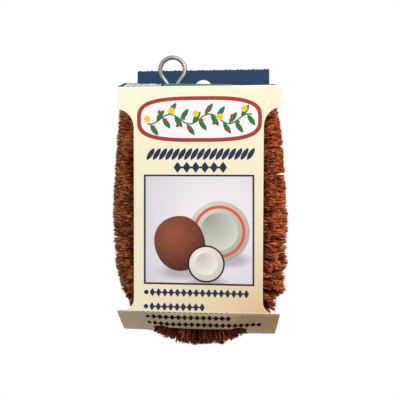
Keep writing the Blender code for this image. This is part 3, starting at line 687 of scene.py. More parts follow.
def threads(path, thick, dice):
    """Corners and faces of three-sided threads round paths of four places each, with closed ends."""
    beside, upward = across_path(np.gradient(path, axis=0), dice.normal(0, 1, (FIBRES, 3)))
    thick = thick * dice.uniform(*THICK_SPREAD, FIBRES)
    turn = np.array((0, 2, 4)) * np.pi / 3
    ring = np.cos(turn)[:, None] * beside[:, :, None] + np.sin(turn)[:, None] * upward[:, :, None]
    points = (path[:, :, None] + thick[:, :, None, None] * ring).transpose(1, 0, 2, 3).reshape(-1, 3)
    side = np.arange(3)
    after = (side + 1) % 3
    step = 3 * np.arange(3)[:, None]
    wall = np.stack([step + side, step + after, step + 3 + after, step + 3 + side], axis=-1).reshape(-1, 4)
    ends = np.array(((2, 1, 0), (9, 10, 11)))
    base = 12 * np.arange(FIBRES)[:, None, None]
    return points, (base + wall).reshape(-1, 4), (base + ends).reshape(-1, 3)


def heart(first, last, dice):
    """The dense middle: a closed ring profile carried round the wire, its outer side roughened."""
    first = max(first, END_DEPTH)
    last = min(last, WHOLE_RUN - END_DEPTH)
    rows, around = HEART_CELLS
    run = np.concatenate([[first], np.linspace(first, last, rows), [last]])
    depth = np.concatenate([[BORE], np.full(rows, HEART), [BORE]])
    rough = np.zeros((rows + 2, around))
    rough[1:-1] = dice.normal(0, HEART_ROUGH, (rows, around))
    angle = np.linspace(0, 2 * np.pi, around, endpoint=False)
    points = round_wire(run[:, None] + 0 * angle, angle + 0 * run[:, None], depth[:, None] + rough)
    index = np.arange((rows + 2) * around).reshape(rows + 2, around)
    after = np.roll(index, -1, axis=1)
    quads = np.stack([index, np.roll(index, -1, axis=0), np.roll(after, -1, axis=0), after], axis=-1)
    return points.reshape(-1, 3), quads.reshape(-1, 4)


def eased(share, start, over):
    """0 up to a start, rising evenly to 1 over a stretch."""
    return np.clip(share - start, 0, over) / over


def own_browns(run, angle, wisp_tone, dice):
    """Tone and gold of each fibre: painted shade makes them darkest round the bend and darker near the front
    card, which shadows them. They are darker at the right leg's top too, the left leg more mixed and golden,
    with painted light shining through the thin tips of its outer side, and a few are much paler."""
    share = run / WHOLE_RUN
    deep = near(run, WHOLE_RUN / 2, BEND_SHADE_SPAN * BEND_RUN)
    redder, right, right_top = (eased(share, *part) for part in (REDDER_FROM, RIGHT_FROM, RIGHT_TOP_FROM))
    # Painted shadow of the front card: fibres that face it are darker
    facing = eased(-np.sin(angle), FACING[0] - FACING_RIGHT[0] * right, FACING[1] + FACING_RIGHT[1] * right)
    shaded = facing * (FACING_SHADE[0] + FACING_SHADE[1] * right_top)
    own_tone = wisp_tone + dice.normal(0, TONE_SPREAD[2], FIBRES)
    own_tone *= 1 + TONE_MIXED * (1 - redder)
    tone = TONE - BEND_SHADE * deep - TONE_RIGHT * right_top - shaded + own_tone
    tone = np.clip(np.where(dice.random(FIBRES) < PALE_ODDS, tone + PALE_LIFT, tone), 0, 1)
    all_round, outside = (GOLD[k] - GOLD_RIGHT[k] * redder for k in (0, 1))
    # Painted light: the outer side's gold stands for light shining through the thin tips
    golden = all_round + outside * np.clip(np.cos(angle), 0, 1) ** 4
    return tone, np.clip(golden + dice.normal(0, GOLD_SPREAD, FIBRES), 0, 1) * (1 - GOLD_LOW * deep)


def fibre_slice(name, first, last, seed):
    """One slice of fibres: each a thread that tapers through four places from its root to its tip, with its
    own colour, round a rough heart painted dark as shade. Roots are spread evenly; tips draw in to wisps,
    and wisps to tufts."""
    dice = np.random.default_rng(seed)
    wisp_run, wisp_angle, pull_run, pull_angle, wisp_length, wisp_tone = wisps_at_tips(first, last, dice)
    crowd = stretch(wisp_run, wisp_angle, np.full(len(wisp_run), REACH))
    wisp = dice.choice(len(wisp_run), FIBRES, p=crowd / crowd.sum())
    run, angle = wisp_run[wisp], wisp_angle[wisp]
    length = fibre_lengths(run, angle, wisp_length[wisp], dice)
    at_end = np.minimum(run, WHOLE_RUN - run) < END_DEPTH
    root = np.where(at_end, BORE + ROOT_CLEAR, HEART - ROOT_INSIDE)

    share = np.array(FIBRE_STOPS)[:, None]
    distance = root + (length - root) * share
    spread = dice.normal(0, 1, (2, FIBRES)) * np.array(ROOT_SPREAD)[:, None]
    tip = dice.normal(0, 1, (2, FIBRES)) * dice.uniform(*TIP_SPREAD, len(wisp_run))[wisp]
    arch = 4 * share[:, :, None] * (1 - share[:, :, None])
    bow = dice.normal(0, BOW_SPREAD, (2, FIBRES)) * arch
    gather = share**GATHER_POWER
    swept = angle + SWEEP * np.sin(2 * angle) * (1 - share) ** SWEEP_POWER
    beside_run = spread[0] * (1 - gather) + tip[0] * gather + pull_run[wisp] * gather + bow[:, 0]
    beside_angle = spread[1] * (1 - gather) + tip[1] * gather + REACH * pull_angle[wisp] * gather + bow[:, 1]
    path_run = run + beside_run / stretch(run, angle, distance)
    path = round_wire(path_run, swept + beside_angle / distance, distance)
    path[..., 1] = np.clip(path[..., 1], -INSIDE, INSIDE)
    path = off_the_bottom_card(path)

    points, quads, tris = threads(path, FIBRE_RADIUS * (1 - (1 - FIBRE_TAPER) * share), dice)
    heart_points, heart_quads = heart(first, last, dice)
    tone, gold = own_browns(run, angle, wisp_tone[wisp], dice)
    rest = len(heart_points)
    carried = (
        ("tone", "POINT", np.concatenate([np.repeat(tone, 12), np.full(rest, HEART_SHADE_TONE)])),
        ("along", "POINT", np.concatenate([np.tile(np.repeat(share[:, 0], 3), FIBRES), np.zeros(rest)])),
        ("gold", "POINT", np.concatenate([np.repeat(gold, 12), np.zeros(rest)])),
    )
    quads = np.concatenate([quads, heart_quads + len(points)])
    return mesh_of(name, np.concatenate([points, heart_points]), quads, tris, carried)


fibre = coir()
slices = [("left_fibre", 4, 0.0, LEG_LENGTH), ("bend_fibre", 5, LEG_LENGTH, LEG_LENGTH + BEND_RUN)]
slices += [("right_fibre", 4, LEG_LENGTH + BEND_RUN, WHOLE_RUN)]
for group, count, start, end in slices:
    cuts = np.linspace(start, end, count + 1)
    for i in range(count):
        node = f"{group}_{i + 1}"
        mesh = fibre_slice(node + "_coir", cuts[i], cuts[i + 1], [ord(group[0]), i])
        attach(show(node + "_coir", mesh, fibre, "coir_fibre", node), "brush")


# The front of the card sleeve
# A tall panel of thin board, printed cream on the outside and bare inside. It is die cut to a waist, bowed a
# little by the brush behind it, and its waist edges curl back.
HALF_WAIST = 0.0321
TAB_HEIGHT = 0.0115  # full-width part below the top crease
CUTOUT_HEIGHT = 0.010  # rounded step from the tab to the waist, of the back
LEFT_CUTOUT = (0.0002, 0.0094)  # the same of the front: its top above the tab's foot, and its height
RIGHT_CUTOUT = (0.0007, 0.0090)
FLARE_HEIGHT = 0.0082  # rounded step from the waist to the foot, of the back
LEFT_FLARE = 0.0068  # the same of the front
RIGHT_FLARE = 0.0061
FLARE_POWER = 2.4  # of the front's rounded steps: above 2, they hug the waist and the foot more closely
TIP_HEIGHT = 0.0003  # blunt end of the foot's tip
FOLD_ROOM = 0.00075  # of fold between a crease and the flat card beside it
BOW = 0.0003
TOP_TILT = 0.0005  # the top crease stands this much higher at its right end, lower at its left
LEFT_GROWTH = (0.0007, 0.0006, 0.00075, 0.0008)  # how much wider the left half is, from the foot to the tab
RIGHT_GROWTH = (-0.0009, -0.0012, -0.0006, -0.0002)  # the same of the right half
CURL = 0.0005
CURL_WIDTH = 0.0022
RUB_WIDTH = 0.0005
CREAM_PRINT_AND_FALLOFF = (  # the printed cream with painted shade, from the lit top left to the lower right
    (0.10, (0.935, 0.888, 0.705, 1.0)),
    (0.27, (0.865, 0.823, 0.637, 1.0)),
    (0.45, (0.827, 0.788, 0.605, 1.0)),
    (0.80, (0.757, 0.618, 0.411, 1.0)),
    (1.00, (0.680, 0.470, 0.270, 1.0)),
)
BARE_BOARD = (0.60, 0.55, 0.45, 1.0)
BOARD_CORE = (0.86, 0.82, 0.72, 1.0)
BALD = (-0.62, -0.42)  # how worn the ink is where it begins to break up, and where it is gone
BOARD_GRAIN = 900.0
BALD_SPECKS = 2300.0
FRONT_COLUMNS = 72
CREAM_WEAR = 0.18
SHADE_DOWN = 0.42  # how far the painted shade moves on from the top to the foot
SHADE_ASIDE = (0.40, 0.22)  # how far from left to right: what the foot adds, and what the top has

PANEL_HEIGHT = SHOULDER - FOOT
PANEL_TAB = PANEL_HEIGHT - TAB_HEIGHT


def half_width(b, tab, cutout_height, flare_height, power=2.0):
    """Half width of a long panel at a height: full at both ends, in to the waist by a quarter ellipse at the
    tab and a quarter superellipse of the given power at the foot."""
    flare = np.clip((TIP_HEIGHT + flare_height - b) / flare_height, 0, 1)
    cutout = np.clip((b - tab + cutout_height) / cutout_height, 0, 1)
    drawn_in = (1 - flare**power) ** (1 / power) * np.sqrt(1 - cutout**2)
    return HALF_PANEL - (HALF_PANEL - HALF_WAIST) * drawn_in


def cut_edges(b, tab):
    """Left and right edges of the front panel: its half width each way, and what the die cut further out."""
    places = (TIP_HEIGHT, TIP_HEIGHT + FLARE_HEIGHT, tab - CUTOUT_HEIGHT, tab)
    left = half_width(b, tab + LEFT_CUTOUT[0], LEFT_CUTOUT[1], LEFT_FLARE, FLARE_POWER)
    right = half_width(b, tab + RIGHT_CUTOUT[0], RIGHT_CUTOUT[1], RIGHT_FLARE, FLARE_POWER)
    return -left - np.interp(b, places, LEFT_GROWTH), right + np.interp(b, places, RIGHT_GROWTH)


def panel_rows(foot, top, flares, cutouts):
    """Heights of a long panel's rows: close together round the quarter ellipses, where the width runs away. A
    flare is given by its height, a cut-out by the height of its top and its own."""
    arc = 1 - np.cos(np.linspace(0, np.pi / 2, 13))
    flare = np.unique([TIP_HEIGHT + height * arc for height in flares])
    cutout = np.unique([end - height * arc for end, height in cutouts])
    waist = np.linspace(flare[-1], cutout[0], 62)[1:-1]
    rows = np.concatenate([flare, waist, cutout, np.linspace(cutout[-1], top, 9)[1:]])
    return np.concatenate([[foot], rows[rows > foot]])


def front_face(a, b):
    """Outer face of the front panel, from the distance right of its middle and above its crease: a flat sheet
    between two tilted creases, pushed out as a half sine up the panel and a parabola across, its waist edges
    curled back."""
    high = b / PANEL_HEIGHT
    tilt = (TOP_TILT * high - FOOT_TILT * (1 - high)) * a / HALF_PANEL
    tall = np.sin(np.pi * np.clip(high, 0, 1))
    left, right = cut_edges(b, PANEL_TAB)
    from_edge = np.maximum(0, np.minimum(a - left, right - a))
    y = FRONT - BOW * tall * (1 - (a / HALF_PANEL) ** 2) + CURL * tall**4 * np.exp(-from_edge / CURL_WIDTH)
    return np.stack([MIDDLE + a, y, FOOT + b + tilt], axis=-1)


def way_out(face, a, b, facing):
    """Direction out of a face: the cross product of its slopes along both of its measures."""
    step = 1e-5
    across = face(a + step, b) - face(a - step, b)
    up = face(a, b + step) - face(a, b - step)
    out = facing * np.cross(across, up)
    return out / np.linalg.norm(out, axis=-1, keepdims=True)


def sheet(name, blocks, face, facing, lifts, rubbed=True):
    """Closed thin sheet. A block is a grid of places on a face and, where some are left out, which of its
    cells are kept; equal places are welded. Each place gets a point at both lifts along the way out, each
    cell a face on both sides, and each edge that one cell alone uses a wall. "side" is 0 outside, 1 inside
    and 2 on the walls; "rub", where it is asked for, falls from 1 at the edges inwards."""
    flat = np.concatenate([np.stack([a, b], axis=-1).reshape(-1, 2) for a, b, *_ in blocks])
    cells = []
    start = 0
    for a, b, *kept in blocks:
        index = start + np.arange(a.size).reshape(a.shape)
        cell = np.stack([index[:-1, :-1], index[:-1, 1:], index[1:, 1:], index[1:, :-1]], axis=-1)
        cell = cell[kept[0]] if kept else cell.reshape(-1, 4)
        one, two = flat[cell[:, 2]] - flat[cell[:, 0]], flat[cell[:, 3]] - flat[cell[:, 1]]
        turned = (one[:, 0] * two[:, 1] - one[:, 1] * two[:, 0]).sum() * facing < 0
        cells.append(cell[:, ::-1] if turned else cell)
        start += a.size
    _, first, same = np.unique(np.round(flat, 7), axis=0, return_index=True, return_inverse=True)
    used, cells = np.unique(same.reshape(-1)[np.concatenate(cells)], return_inverse=True)
    cells = cells.reshape(-1, 4)
    flat = flat[first[used]]
    count = len(flat)

    pinched = cells == np.roll(cells, -1, axis=1)
    narrow = pinched.any(axis=1)
    tris = cells[narrow][~pinched[narrow]].reshape(-1, 3)
    quads = cells[~narrow]
    starts = np.concatenate([quads.ravel(), tris.ravel()])
    ends = np.concatenate([np.roll(quads, -1, axis=1).ravel(), np.roll(tris, -1, axis=1).ravel()])
    alone = ~np.isin(starts * count + ends, ends * count + starts)
    a, b = starts[alone], ends[alone]
    walls = np.stack([b, a, a + count, b + count], axis=-1)

    out = way_out(face, flat[:, 0], flat[:, 1], facing)
    place = face(flat[:, 0], flat[:, 1])
    points = np.concatenate([place + lift * out for lift in lifts])
    sides = np.repeat([0.0, 1.0, 2.0, 0.0, 1.0], [len(quads), len(quads), len(walls), len(tris), len(tris)])
    carried = [("side", "FACE", sides)]
    if rubbed:
        rim = flat[np.unique(a)]
        far = np.min(np.hypot(flat[:, :1] - rim[:, 0], flat[:, 1:] - rim[:, 1]), axis=1)
        carried.append(("rub", "POINT", np.tile(np.exp(-far / RUB_WIDTH), 2)))
    quads = np.concatenate([quads, quads[:, ::-1] + count, walls])
    return smoothed(mesh_of(name, points, quads, np.concatenate([tris, tris[:, ::-1] + count]), carried), 40)


def board(name, shades, wear, inside=BARE_BOARD, core=BOARD_CORE):
    """Thin board: printed outside and darkened by painted shade towards the lower right, bare inside, its
    core open at the cuts, ink rubbed off in specks along edges and creases, and a faint felted grain."""
    card = Mixture(bpy.data.materials.new(name))
    side = card.carried("side")
    grain = card.noise(BOARD_GRAIN, 5.0)
    right, down = (card.step("SeparateXYZ", {0: card.place()}, axis) for axis in "XZ")
    right = card.spread(right, 0.0, 1.0, MIDDLE - HALF_PANEL, MIDDLE + HALF_PANEL)
    down = card.spread(down, 0.0, 1.0, SHOULDER, FOOT)
    slant = card.number("MULTIPLY_ADD", card.number("POWER", down, 3.0), *SHADE_ASIDE)
    aside = card.number("MULTIPLY", right, slant)
    onward = card.number("MULTIPLY_ADD", card.number("POWER", down, 0.5), SHADE_DOWN, aside)
    # The print with its painted shade, by the place on the board
    printed = card.ramp(onward, shades)
    bare = card.mix(card.number("GREATER_THAN", side, 0.5), printed, inside)
    worn = card.number("MULTIPLY_ADD", card.carried("rub"), card.noise(BALD_SPECKS, 2.0), wear - 1)
    bald = card.spread(worn, 0.0, 1.0, *BALD, interpolation_type="SMOOTHSTEP")
    open_core = card.number("MAXIMUM", bald, card.number("GREATER_THAN", side, 1.5))
    colour = card.tinted(card.mix(open_core, bare, core), card.spread(grain, 0.955, 1.04))
    return card.finish(colour, card.spread(grain, 0.42, 0.62), 0.2, grain, 0.12)


cream = board("cream_card", CREAM_PRINT_AND_FALLOFF, CREAM_WEAR)
columns = (1 + np.sin(np.linspace(-1, 1, FRONT_COLUMNS + 1) * np.pi / 2)) / 2
cutouts = [(PANEL_TAB + above, height) for above, height in (LEFT_CUTOUT, RIGHT_CUTOUT)]
rows = panel_rows(FOLD_ROOM, PANEL_HEIGHT - FOLD_ROOM, (LEFT_FLARE, RIGHT_FLARE), cutouts)[:, None]
left_edge, right_edge = cut_edges(rows, PANEL_TAB)
front_block = (left_edge + columns * (right_edge - left_edge), rows + 0 * columns)
front = sheet("front_card", [front_block], front_face, 1, (0, -CARD))
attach(show("front_card", front, cream, "cream_card", "front_panel"), "front_card")


# The printing on the front
# Flat inks on the cream board: an oblong plaque with a berry garland, two navy borders, a framed still life
# of coconuts before a plate, and rows of small marks. They move with the board that they are printed on.
INK_STEP = 0.00003  # each layer of ink stands this much above the one below
INK_SINK = 0.00002  # and reaches this far into the board
INK_ROUGH = 0.42
INK_MOTTLE = 1500.0
INK_TINTS = (0.86, 1.14)
NAVY_INK = (0.024, 0.036, 0.080, 1.0)
BRICK_INK = (0.36, 0.048, 0.030, 1.0)
LEAF_INK = (0.022, 0.175, 0.055, 1.0)
YELLOW_INK = (0.90, 0.58, 0.02, 1.0)
PLAQUE_INK = (0.90, 0.86, 0.93, 1.0)
PLAQUE_MIDDLE = (-0.0003, 0.0961)
PLAQUE_HALF = (0.0309, 0.0113)
PLAQUE_POWER = 3.2
PLAQUE_RING = 0.0019
PLAQUE_STEPS = 144
STEM_WAVE = 0.0024
STEM_LENGTH = 0.026
STEM_HALF = 0.00033
STEM_TURN = 0.0031  # the stem's sine has gone through one radian after this length
SPRIG_PITCH = 0.0030
SPRIGS = 17
SPRIG_LEAF = (0.0033, 0.00125)
SPRIG_POINT = 3.4
LEAF_SHIFT = (0.0016, 0.0030)  # from where its sprig leaves the stem to a leaf's middle
LEAF_TURN = 0.95
BERRY_SHIFT = (0.0019, 0.0026)  # the same of a berry, the other way
BERRY_RADIUS = 0.00085
FRUIT_RADIUS = 0.0016
FRUIT_EVERY = 4  # one sprig in four carries a fruit instead of a berry
ROPE_MIDDLE = (0.0003, 0.0788)  # the upper border, of slanted leaves
ROPE_HALF_LENGTH = 0.0277
ROPE_PITCH = 0.0031
ROPE_LEAF = (0.0034, 0.0012)
ROPE_POINT = 2.8
ROPE_TURN = 1.0
BORDER_MIDDLE = (0.0001, 0.0722)  # the lower border, of lozenges and dots
BORDER_COUNT = 6
BORDER_PITCH = 0.0045
BORDER_LOZENGE = (0.0019, 0.0027)
BORDER_POWER = 1.1  # a little above 1, the corners of a lozenge are rounded
BORDER_DOT = 0.00055
ROWS = ((-0.0276, 0.0248, 0.0100), (-0.0278, 0.0036, 0.0029))  # left, right and height of two rows of marks
BULLET_RADIUS = 0.0011
BULLET_START = 0.001  # from the left of a row to its bullet's middle
MARK_START = 0.0040  # from the left of a row to its first lozenge
MARK_PITCH = 0.0031
MARK_LOZENGE = (0.00125, 0.0020)
MARK_POWER = 1.15
MARK_DOT = 0.00042
PICTURE_LEFT, PICTURE_RIGHT = -0.0278, 0.0268
PICTURE_LOW, PICTURE_HIGH = 0.0140, 0.0686
FRAME_WIDTH = 0.0009


def ink(name, colour, rough=INK_ROUGH, shine=0.25):
    """A printed ink: one colour broken by a faint mottle, a little glossier than the board."""
    wet = Mixture(bpy.data.materials.new(name))
    tint = wet.spread(wet.noise(INK_MOTTLE, 4.0), *INK_TINTS)
    return wet.finish(wet.tinted(colour[:3], tint), rough, shine)


def outline(middle, half, power=2.0, point=2.0, turn=0.0, steps=48):
    """Closed outline: a superellipse of the given power; a point above 2 sharpens its two far ends. It is
    turned about its middle."""
    t = np.linspace(0, 2 * np.pi, steps + 1)
    c, s = np.cos(t), np.sin(t)
    u = half[0] * np.sign(c) * np.abs(c) ** (2 / power)
    v = half[1] * np.sign(s) * np.abs(s) ** (point / power)
    a = middle[0] + u * math.cos(turn) - v * math.sin(turn)
    b = middle[1] + u * math.sin(turn) + v * math.cos(turn)
    a[-1], b[-1] = a[0], b[0]
    return a, b


def hoop(outer, inner, rings=3):
    """Ring between two outlines, its places shared evenly from the inner one to the outer one."""
    share = np.linspace(0, 1, rings + 1)[:, None]
    return tuple(inner[k] + share * (outer[k] - inner[k]) for k in (0, 1))


def disc(rim, rings=2):
    """Filled outline: rings of places from its middle out, closer together towards its rim."""
    share = np.sin(np.linspace(0, np.pi / 2, rings + 1))[:, None]
    middle = [side[:-1].mean() for side in rim]
    return tuple(middle[k] + share * (rim[k] - middle[k]) for k in (0, 1))


def dot(middle, radius, steps, squeeze=1.0, rings=2):
    """Filled circle, lower where it is squeezed."""
    return disc(outline(middle, (radius, radius * squeeze), steps=steps), rings)


def panel(left, right, low, high, columns=1, rows=1):
    """Upright oblong of cells."""
    return tuple(np.meshgrid(np.linspace(left, right, columns + 1), np.linspace(low, high, rows + 1)))


def thin_frame(left, right, low, high, line, columns, rows):
    """Four thin oblongs inside the edges of another."""
    level = [panel(left, right, b, b + line, columns, 1) for b in (low, high - line)]
    return level + [panel(a, a + line, low + line, high - line, 1, rows) for a in (left, right - line)]


def stripe(a, b, half):
    """Band of even width along a path of places."""
    along = np.stack([np.gradient(a), np.gradient(b)])
    along /= np.linalg.norm(along, axis=0)
    across = np.array((-1.0, 1.0))[:, None] * half
    return a - across * along[1], b + across * along[0]


def mark_row(left, right, height, squeeze=1.0, steps=16):
    """A round bullet, then lozenges with dots between them."""
    row = [dot((left + BULLET_START, height), BULLET_RADIUS, 20, squeeze)]
    half = (MARK_LOZENGE[0], MARK_LOZENGE[1] * squeeze)
    for i, a in enumerate(np.arange(left + MARK_START, right, MARK_PITCH)):
        row.append(disc(outline((a, height), half, MARK_POWER, steps=steps)))
        if i:
            row.append(dot((a - MARK_PITCH / 2, height), MARK_DOT, 10, squeeze))
    return row


def print_on(name, blocks, material, level, slot="cream_card", face=front_face, facing=1, body="front_card"):
    """Lays one ink on a face of the board, and lets it move with that board."""
    lifts = (level * INK_STEP, -INK_SINK)
    piece = show(name, sheet(name, blocks, face, facing, lifts, rubbed=False), material, slot)
    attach(piece, body)


navy_ink = ink("navy_ink", NAVY_INK, 0.5, 0.1)
brick_ink = ink("brick_ink", BRICK_INK)
leaf_ink = ink("leaf_ink", LEAF_INK)
yellow_ink = ink("yellow_ink", YELLOW_INK)
plaque_ink = ink("plaque_ink", PLAQUE_INK)

plaque_rim = outline(PLAQUE_MIDDLE, PLAQUE_HALF, PLAQUE_POWER, steps=PLAQUE_STEPS)
plaque_inner_half = (PLAQUE_HALF[0] - PLAQUE_RING, PLAQUE_HALF[1] - PLAQUE_RING)
plaque_inner = outline(PLAQUE_MIDDLE, plaque_inner_half, PLAQUE_POWER, steps=PLAQUE_STEPS)
print_on("plaque_field", [disc(plaque_rim, 16)], plaque_ink, 1)
print_on("plaque_ring", [hoop(plaque_rim, plaque_inner, 5)], brick_ink, 2)

stem_a = np.linspace(-STEM_LENGTH, STEM_LENGTH, 81)
stem_b = PLAQUE_MIDDLE[1] + STEM_WAVE * np.sin(stem_a / STEM_TURN)
garland = [stripe(PLAQUE_MIDDLE[0] + stem_a, stem_b, STEM_HALF)]
berries = []
fruits = []
for i in range(-(SPRIGS // 2), SPRIGS // 2 + 1):
    a = PLAQUE_MIDDLE[0] + i * SPRIG_PITCH
    b = PLAQUE_MIDDLE[1] + STEM_WAVE * math.sin(i * SPRIG_PITCH / STEM_TURN)
    way = 1 if i % 2 else -1
    leaf_middle = (a + LEAF_SHIFT[0], b + way * LEAF_SHIFT[1])
    garland.append(disc(outline(leaf_middle, SPRIG_LEAF, point=SPRIG_POINT, turn=way * LEAF_TURN, steps=24)))
    berry_middle = (a - BERRY_SHIFT[0], b - way * BERRY_SHIFT[1])
    if i % FRUIT_EVERY == 0:
        fruits.append(dot(berry_middle, FRUIT_RADIUS, 28))
    else:
        berries.append(dot(berry_middle, BERRY_RADIUS, 20))
print_on("garland", garland, leaf_ink, 2)
print_on("garland_berries", berries, brick_ink, 3)
print_on("garland_fruits", fruits, yellow_ink, 3)

front_marks = []
leaves = int(2 * ROPE_HALF_LENGTH / ROPE_PITCH)
for i in range(leaves):
    leaf_middle = (ROPE_MIDDLE[0] + (i - (leaves - 1) / 2) * ROPE_PITCH, ROPE_MIDDLE[1])
    front_marks.append(disc(outline(leaf_middle, ROPE_LEAF, point=ROPE_POINT, turn=ROPE_TURN, steps=24)))
for i in range(BORDER_COUNT):
    a = BORDER_MIDDLE[0] + (i - (BORDER_COUNT - 1) / 2) * BORDER_PITCH
    front_marks.append(disc(outline((a, BORDER_MIDDLE[1]), BORDER_LOZENGE, BORDER_POWER, steps=16)))
    if i:
        front_marks.append(dot((a - BORDER_PITCH / 2, BORDER_MIDDLE[1]), BORDER_DOT, 12))
for left, right, height in ROWS:
    front_marks += mark_row(left, right, height)
front_marks += thin_frame(PICTURE_LEFT, PICTURE_RIGHT, PICTURE_LOW, PICTURE_HIGH, FRAME_WIDTH, 24, 24)
print_on("navy_print", front_marks, navy_ink, 2, "navy_card")


# The picture on the front
# A still life in soft greys: a whole coconut and a half one with white flesh lie before a pale green plate
# with a red line. Each thing is one ink, shaded from its lit side as a printed photograph is.
GROUND_LIGHT = (0.89, 0.86, 0.90, 1.0)
GROUND_LILAC = (0.60, 0.59, 0.71, 1.0)
GROUND_SHADOW = (0.30, 0.25, 0.33, 1.0)
SHADOWS = (  # middle and half sizes of the flat ellipses of shadow under the things
    ((-0.008, 0.0205), (0.016, 0.0050)),
    ((0.0035, 0.0150), (0.013, 0.0042)),
    ((0.015, 0.0265), (0.013, 0.005)),
)
SHADOW_DEPTH = 0.62
SHADOW_CORE = 0.35  # share of an ellipse inside which its shadow is full
HUSK_LIGHT = (0.30, 0.085, 0.045, 1.0)
HUSK_DARK = (0.045, 0.010, 0.008, 1.0)
FLESH_LIGHT = (0.90, 0.88, 0.84, 1.0)
FLESH_DARK = (0.55, 0.50, 0.50, 1.0)
GLAZE_LIGHT = (0.62, 0.66, 0.58, 1.0)
GLAZE_DARK = (0.30, 0.34, 0.29, 1.0)
RED_LINE = (0.72, 0.10, 0.08, 1.0)
GROUND_LIT = ((0.006, 0.044), 0.050)  # where the ground is lightest, and how far from there it darkens
GLAZE_LIT = ((0.003, 0.052), 0.036)
WELL_LIT = ((0.004, 0.047), 0.017)
HUSK_LIT = ((-0.0135, 0.0395), 0.021)
HUSK_GRAIN = (0.9, (2600.0, 420.0))  # its strength, and how fine it is across and up the board
FLESH_LIT = ((0.0005, 0.0275), 0.014)
HOLLOW_LIT = ((0.0005, 0.0280), 0.011)
PLATE_MIDDLE = (0.0095, 0.0405)
PLATE_RADIUS = 0.0150
PLATE_LINE = (0.86, 0.76)  # edges of the red line, against the plate's radius
PLATE_WELL = 0.62  # the same of the well's edge
WHOLE_MIDDLE = (-0.0100, 0.0345)
WHOLE_HALF = (0.0124, 0.0136)
WHOLE_POWER = 2.15
WHOLE_TURN = 0.3
ROUND_STEPS = 72
HALF_MIDDLE = (0.0030, 0.0245)
HALF_RADIUS = 0.0092
FLESH_SHARE = 0.91
HOLLOW_SHARE = 0.60


def shaded_ink(name, light, dark, place, reach, grain=0.0, grain_scale=(900.0, 900.0), shadows=()):
    """A thing in the picture: light at one place on the board, darker with the distance from it as far as its
    reach, with a grain of streaks or specks over it, and darkened softly inside flat ellipses."""
    paint = Mixture(bpy.data.materials.new(name))

    def spot(a, b):
        """A place on the board, as the nodes take it."""
        return tuple(front_face(np.array(a), np.array(b)))

    apart = paint.vector("DISTANCE", paint.place(), spot(*place), "Value")
    wide = paint.vector("MULTIPLY", paint.place(), (grain_scale[0], 1.0, grain_scale[1]))
    noise = paint.step("TexNoise", {"Vector": wide, "Scale": 1.0, "Detail": 4.0})
    shift = paint.number("MULTIPLY_ADD", noise, grain, paint.spread(apart, 0.0, 1.0, 0.0, reach))
    colour = paint.mix(paint.number("SUBTRACT", shift, grain / 2, use_clamp=True), light, dark)
    for middle, half in shadows:
        off = paint.vector("SUBTRACT", paint.place(), spot(*middle))
        parts = paint.vector("MULTIPLY", off, (1 / half[0], 0, 1 / half[1]))
        far = paint.step("VectorMath", {0: parts}, "Value", operation="LENGTH")
        depth = paint.spread(far, 0.0, SHADOW_DEPTH, 1.0, SHADOW_CORE, interpolation_type="SMOOTHSTEP")
        colour = paint.mix(depth, colour, GROUND_SHADOW)
    return paint.finish(colour, INK_ROUGH, 0.3)


ground_ink = shaded_ink("ground_ink", GROUND_LIGHT, GROUND_LILAC, *GROUND_LIT, shadows=SHADOWS)
glaze_ink = shaded_ink("glaze_ink", GLAZE_LIGHT, GLAZE_DARK, *GLAZE_LIT)
well_ink = shaded_ink("well_ink", GLAZE_DARK, GLAZE_LIGHT, *WELL_LIT)
red_ink = ink("red_ink", RED_LINE)
husk_ink = shaded_ink("husk_ink", HUSK_LIGHT, HUSK_DARK, *HUSK_LIT, *HUSK_GRAIN)
half_husk_ink = ink("half_husk_ink", HUSK_DARK)
flesh_ink = shaded_ink("flesh_ink", FLESH_LIGHT, FLESH_DARK, *FLESH_LIT)
hollow_ink = shaded_ink("hollow_ink", FLESH_DARK, FLESH_LIGHT, *HOLLOW_LIT)

inner_edges = (PICTURE_LEFT + FRAME_WIDTH, PICTURE_RIGHT - FRAME_WIDTH)
inner_edges += (PICTURE_LOW + FRAME_WIDTH, PICTURE_HIGH - FRAME_WIDTH)
plate, well = (dot(PLATE_MIDDLE, PLATE_RADIUS * share, ROUND_STEPS, rings=4) for share in (1.0, PLATE_WELL))
line_radii = [PLATE_RADIUS * share for share in PLATE_LINE]
plate_line = hoop(*(outline(PLATE_MIDDLE, (radius, radius), steps=ROUND_STEPS) for radius in line_radii))
coconut = disc(outline(WHOLE_MIDDLE, WHOLE_HALF, WHOLE_POWER, turn=WHOLE_TURN, steps=ROUND_STEPS), 5)
half_husk, flesh, hollow = (
    dot(HALF_MIDDLE, HALF_RADIUS * share, ROUND_STEPS, rings=4) for share in (1.0, FLESH_SHARE, HOLLOW_SHARE)
)
for name, block, colour, level in (
    ("picture_ground", panel(*inner_edges, 24, 24), ground_ink, 1),
    ("picture_plate", plate, glaze_ink, 2),
    ("picture_plate_line", plate_line, red_ink, 3),
    ("picture_plate_well", well, well_ink, 3),
    ("picture_coconut", coconut, husk_ink, 4),
    ("picture_half_husk", half_husk, half_husk_ink, 5),
    ("picture_flesh", flesh, flesh_ink, 6),
    ("picture_hollow", hollow, hollow_ink, 7),
):
    print_on(name, [block], colour, level)


# The flap over the top
# The front board goes on over the brush as a flap that leans on the back, slotted for the wire eye. Its
# crease is rounded where the board is bent over.
TOP_RISE = 0.0056
NOTCH_HALF = 0.00855
NOTCH_FROM_EYE = 0.004
TOP_CROWN = 0.0003
NOTCH_LIFT = 0.0006  # the wire pushes the flap up this much round the near end of its notch
NOTCH_REACH = 0.011
TOP_LIFT = 0.0009  # the flap's rear left corner stands up this much
FOLD_PULL = 0.42  # how far a fold follows the board beside it, against the distance across it
FOLD_ROWS = 7
TOP_RUB = 0.6

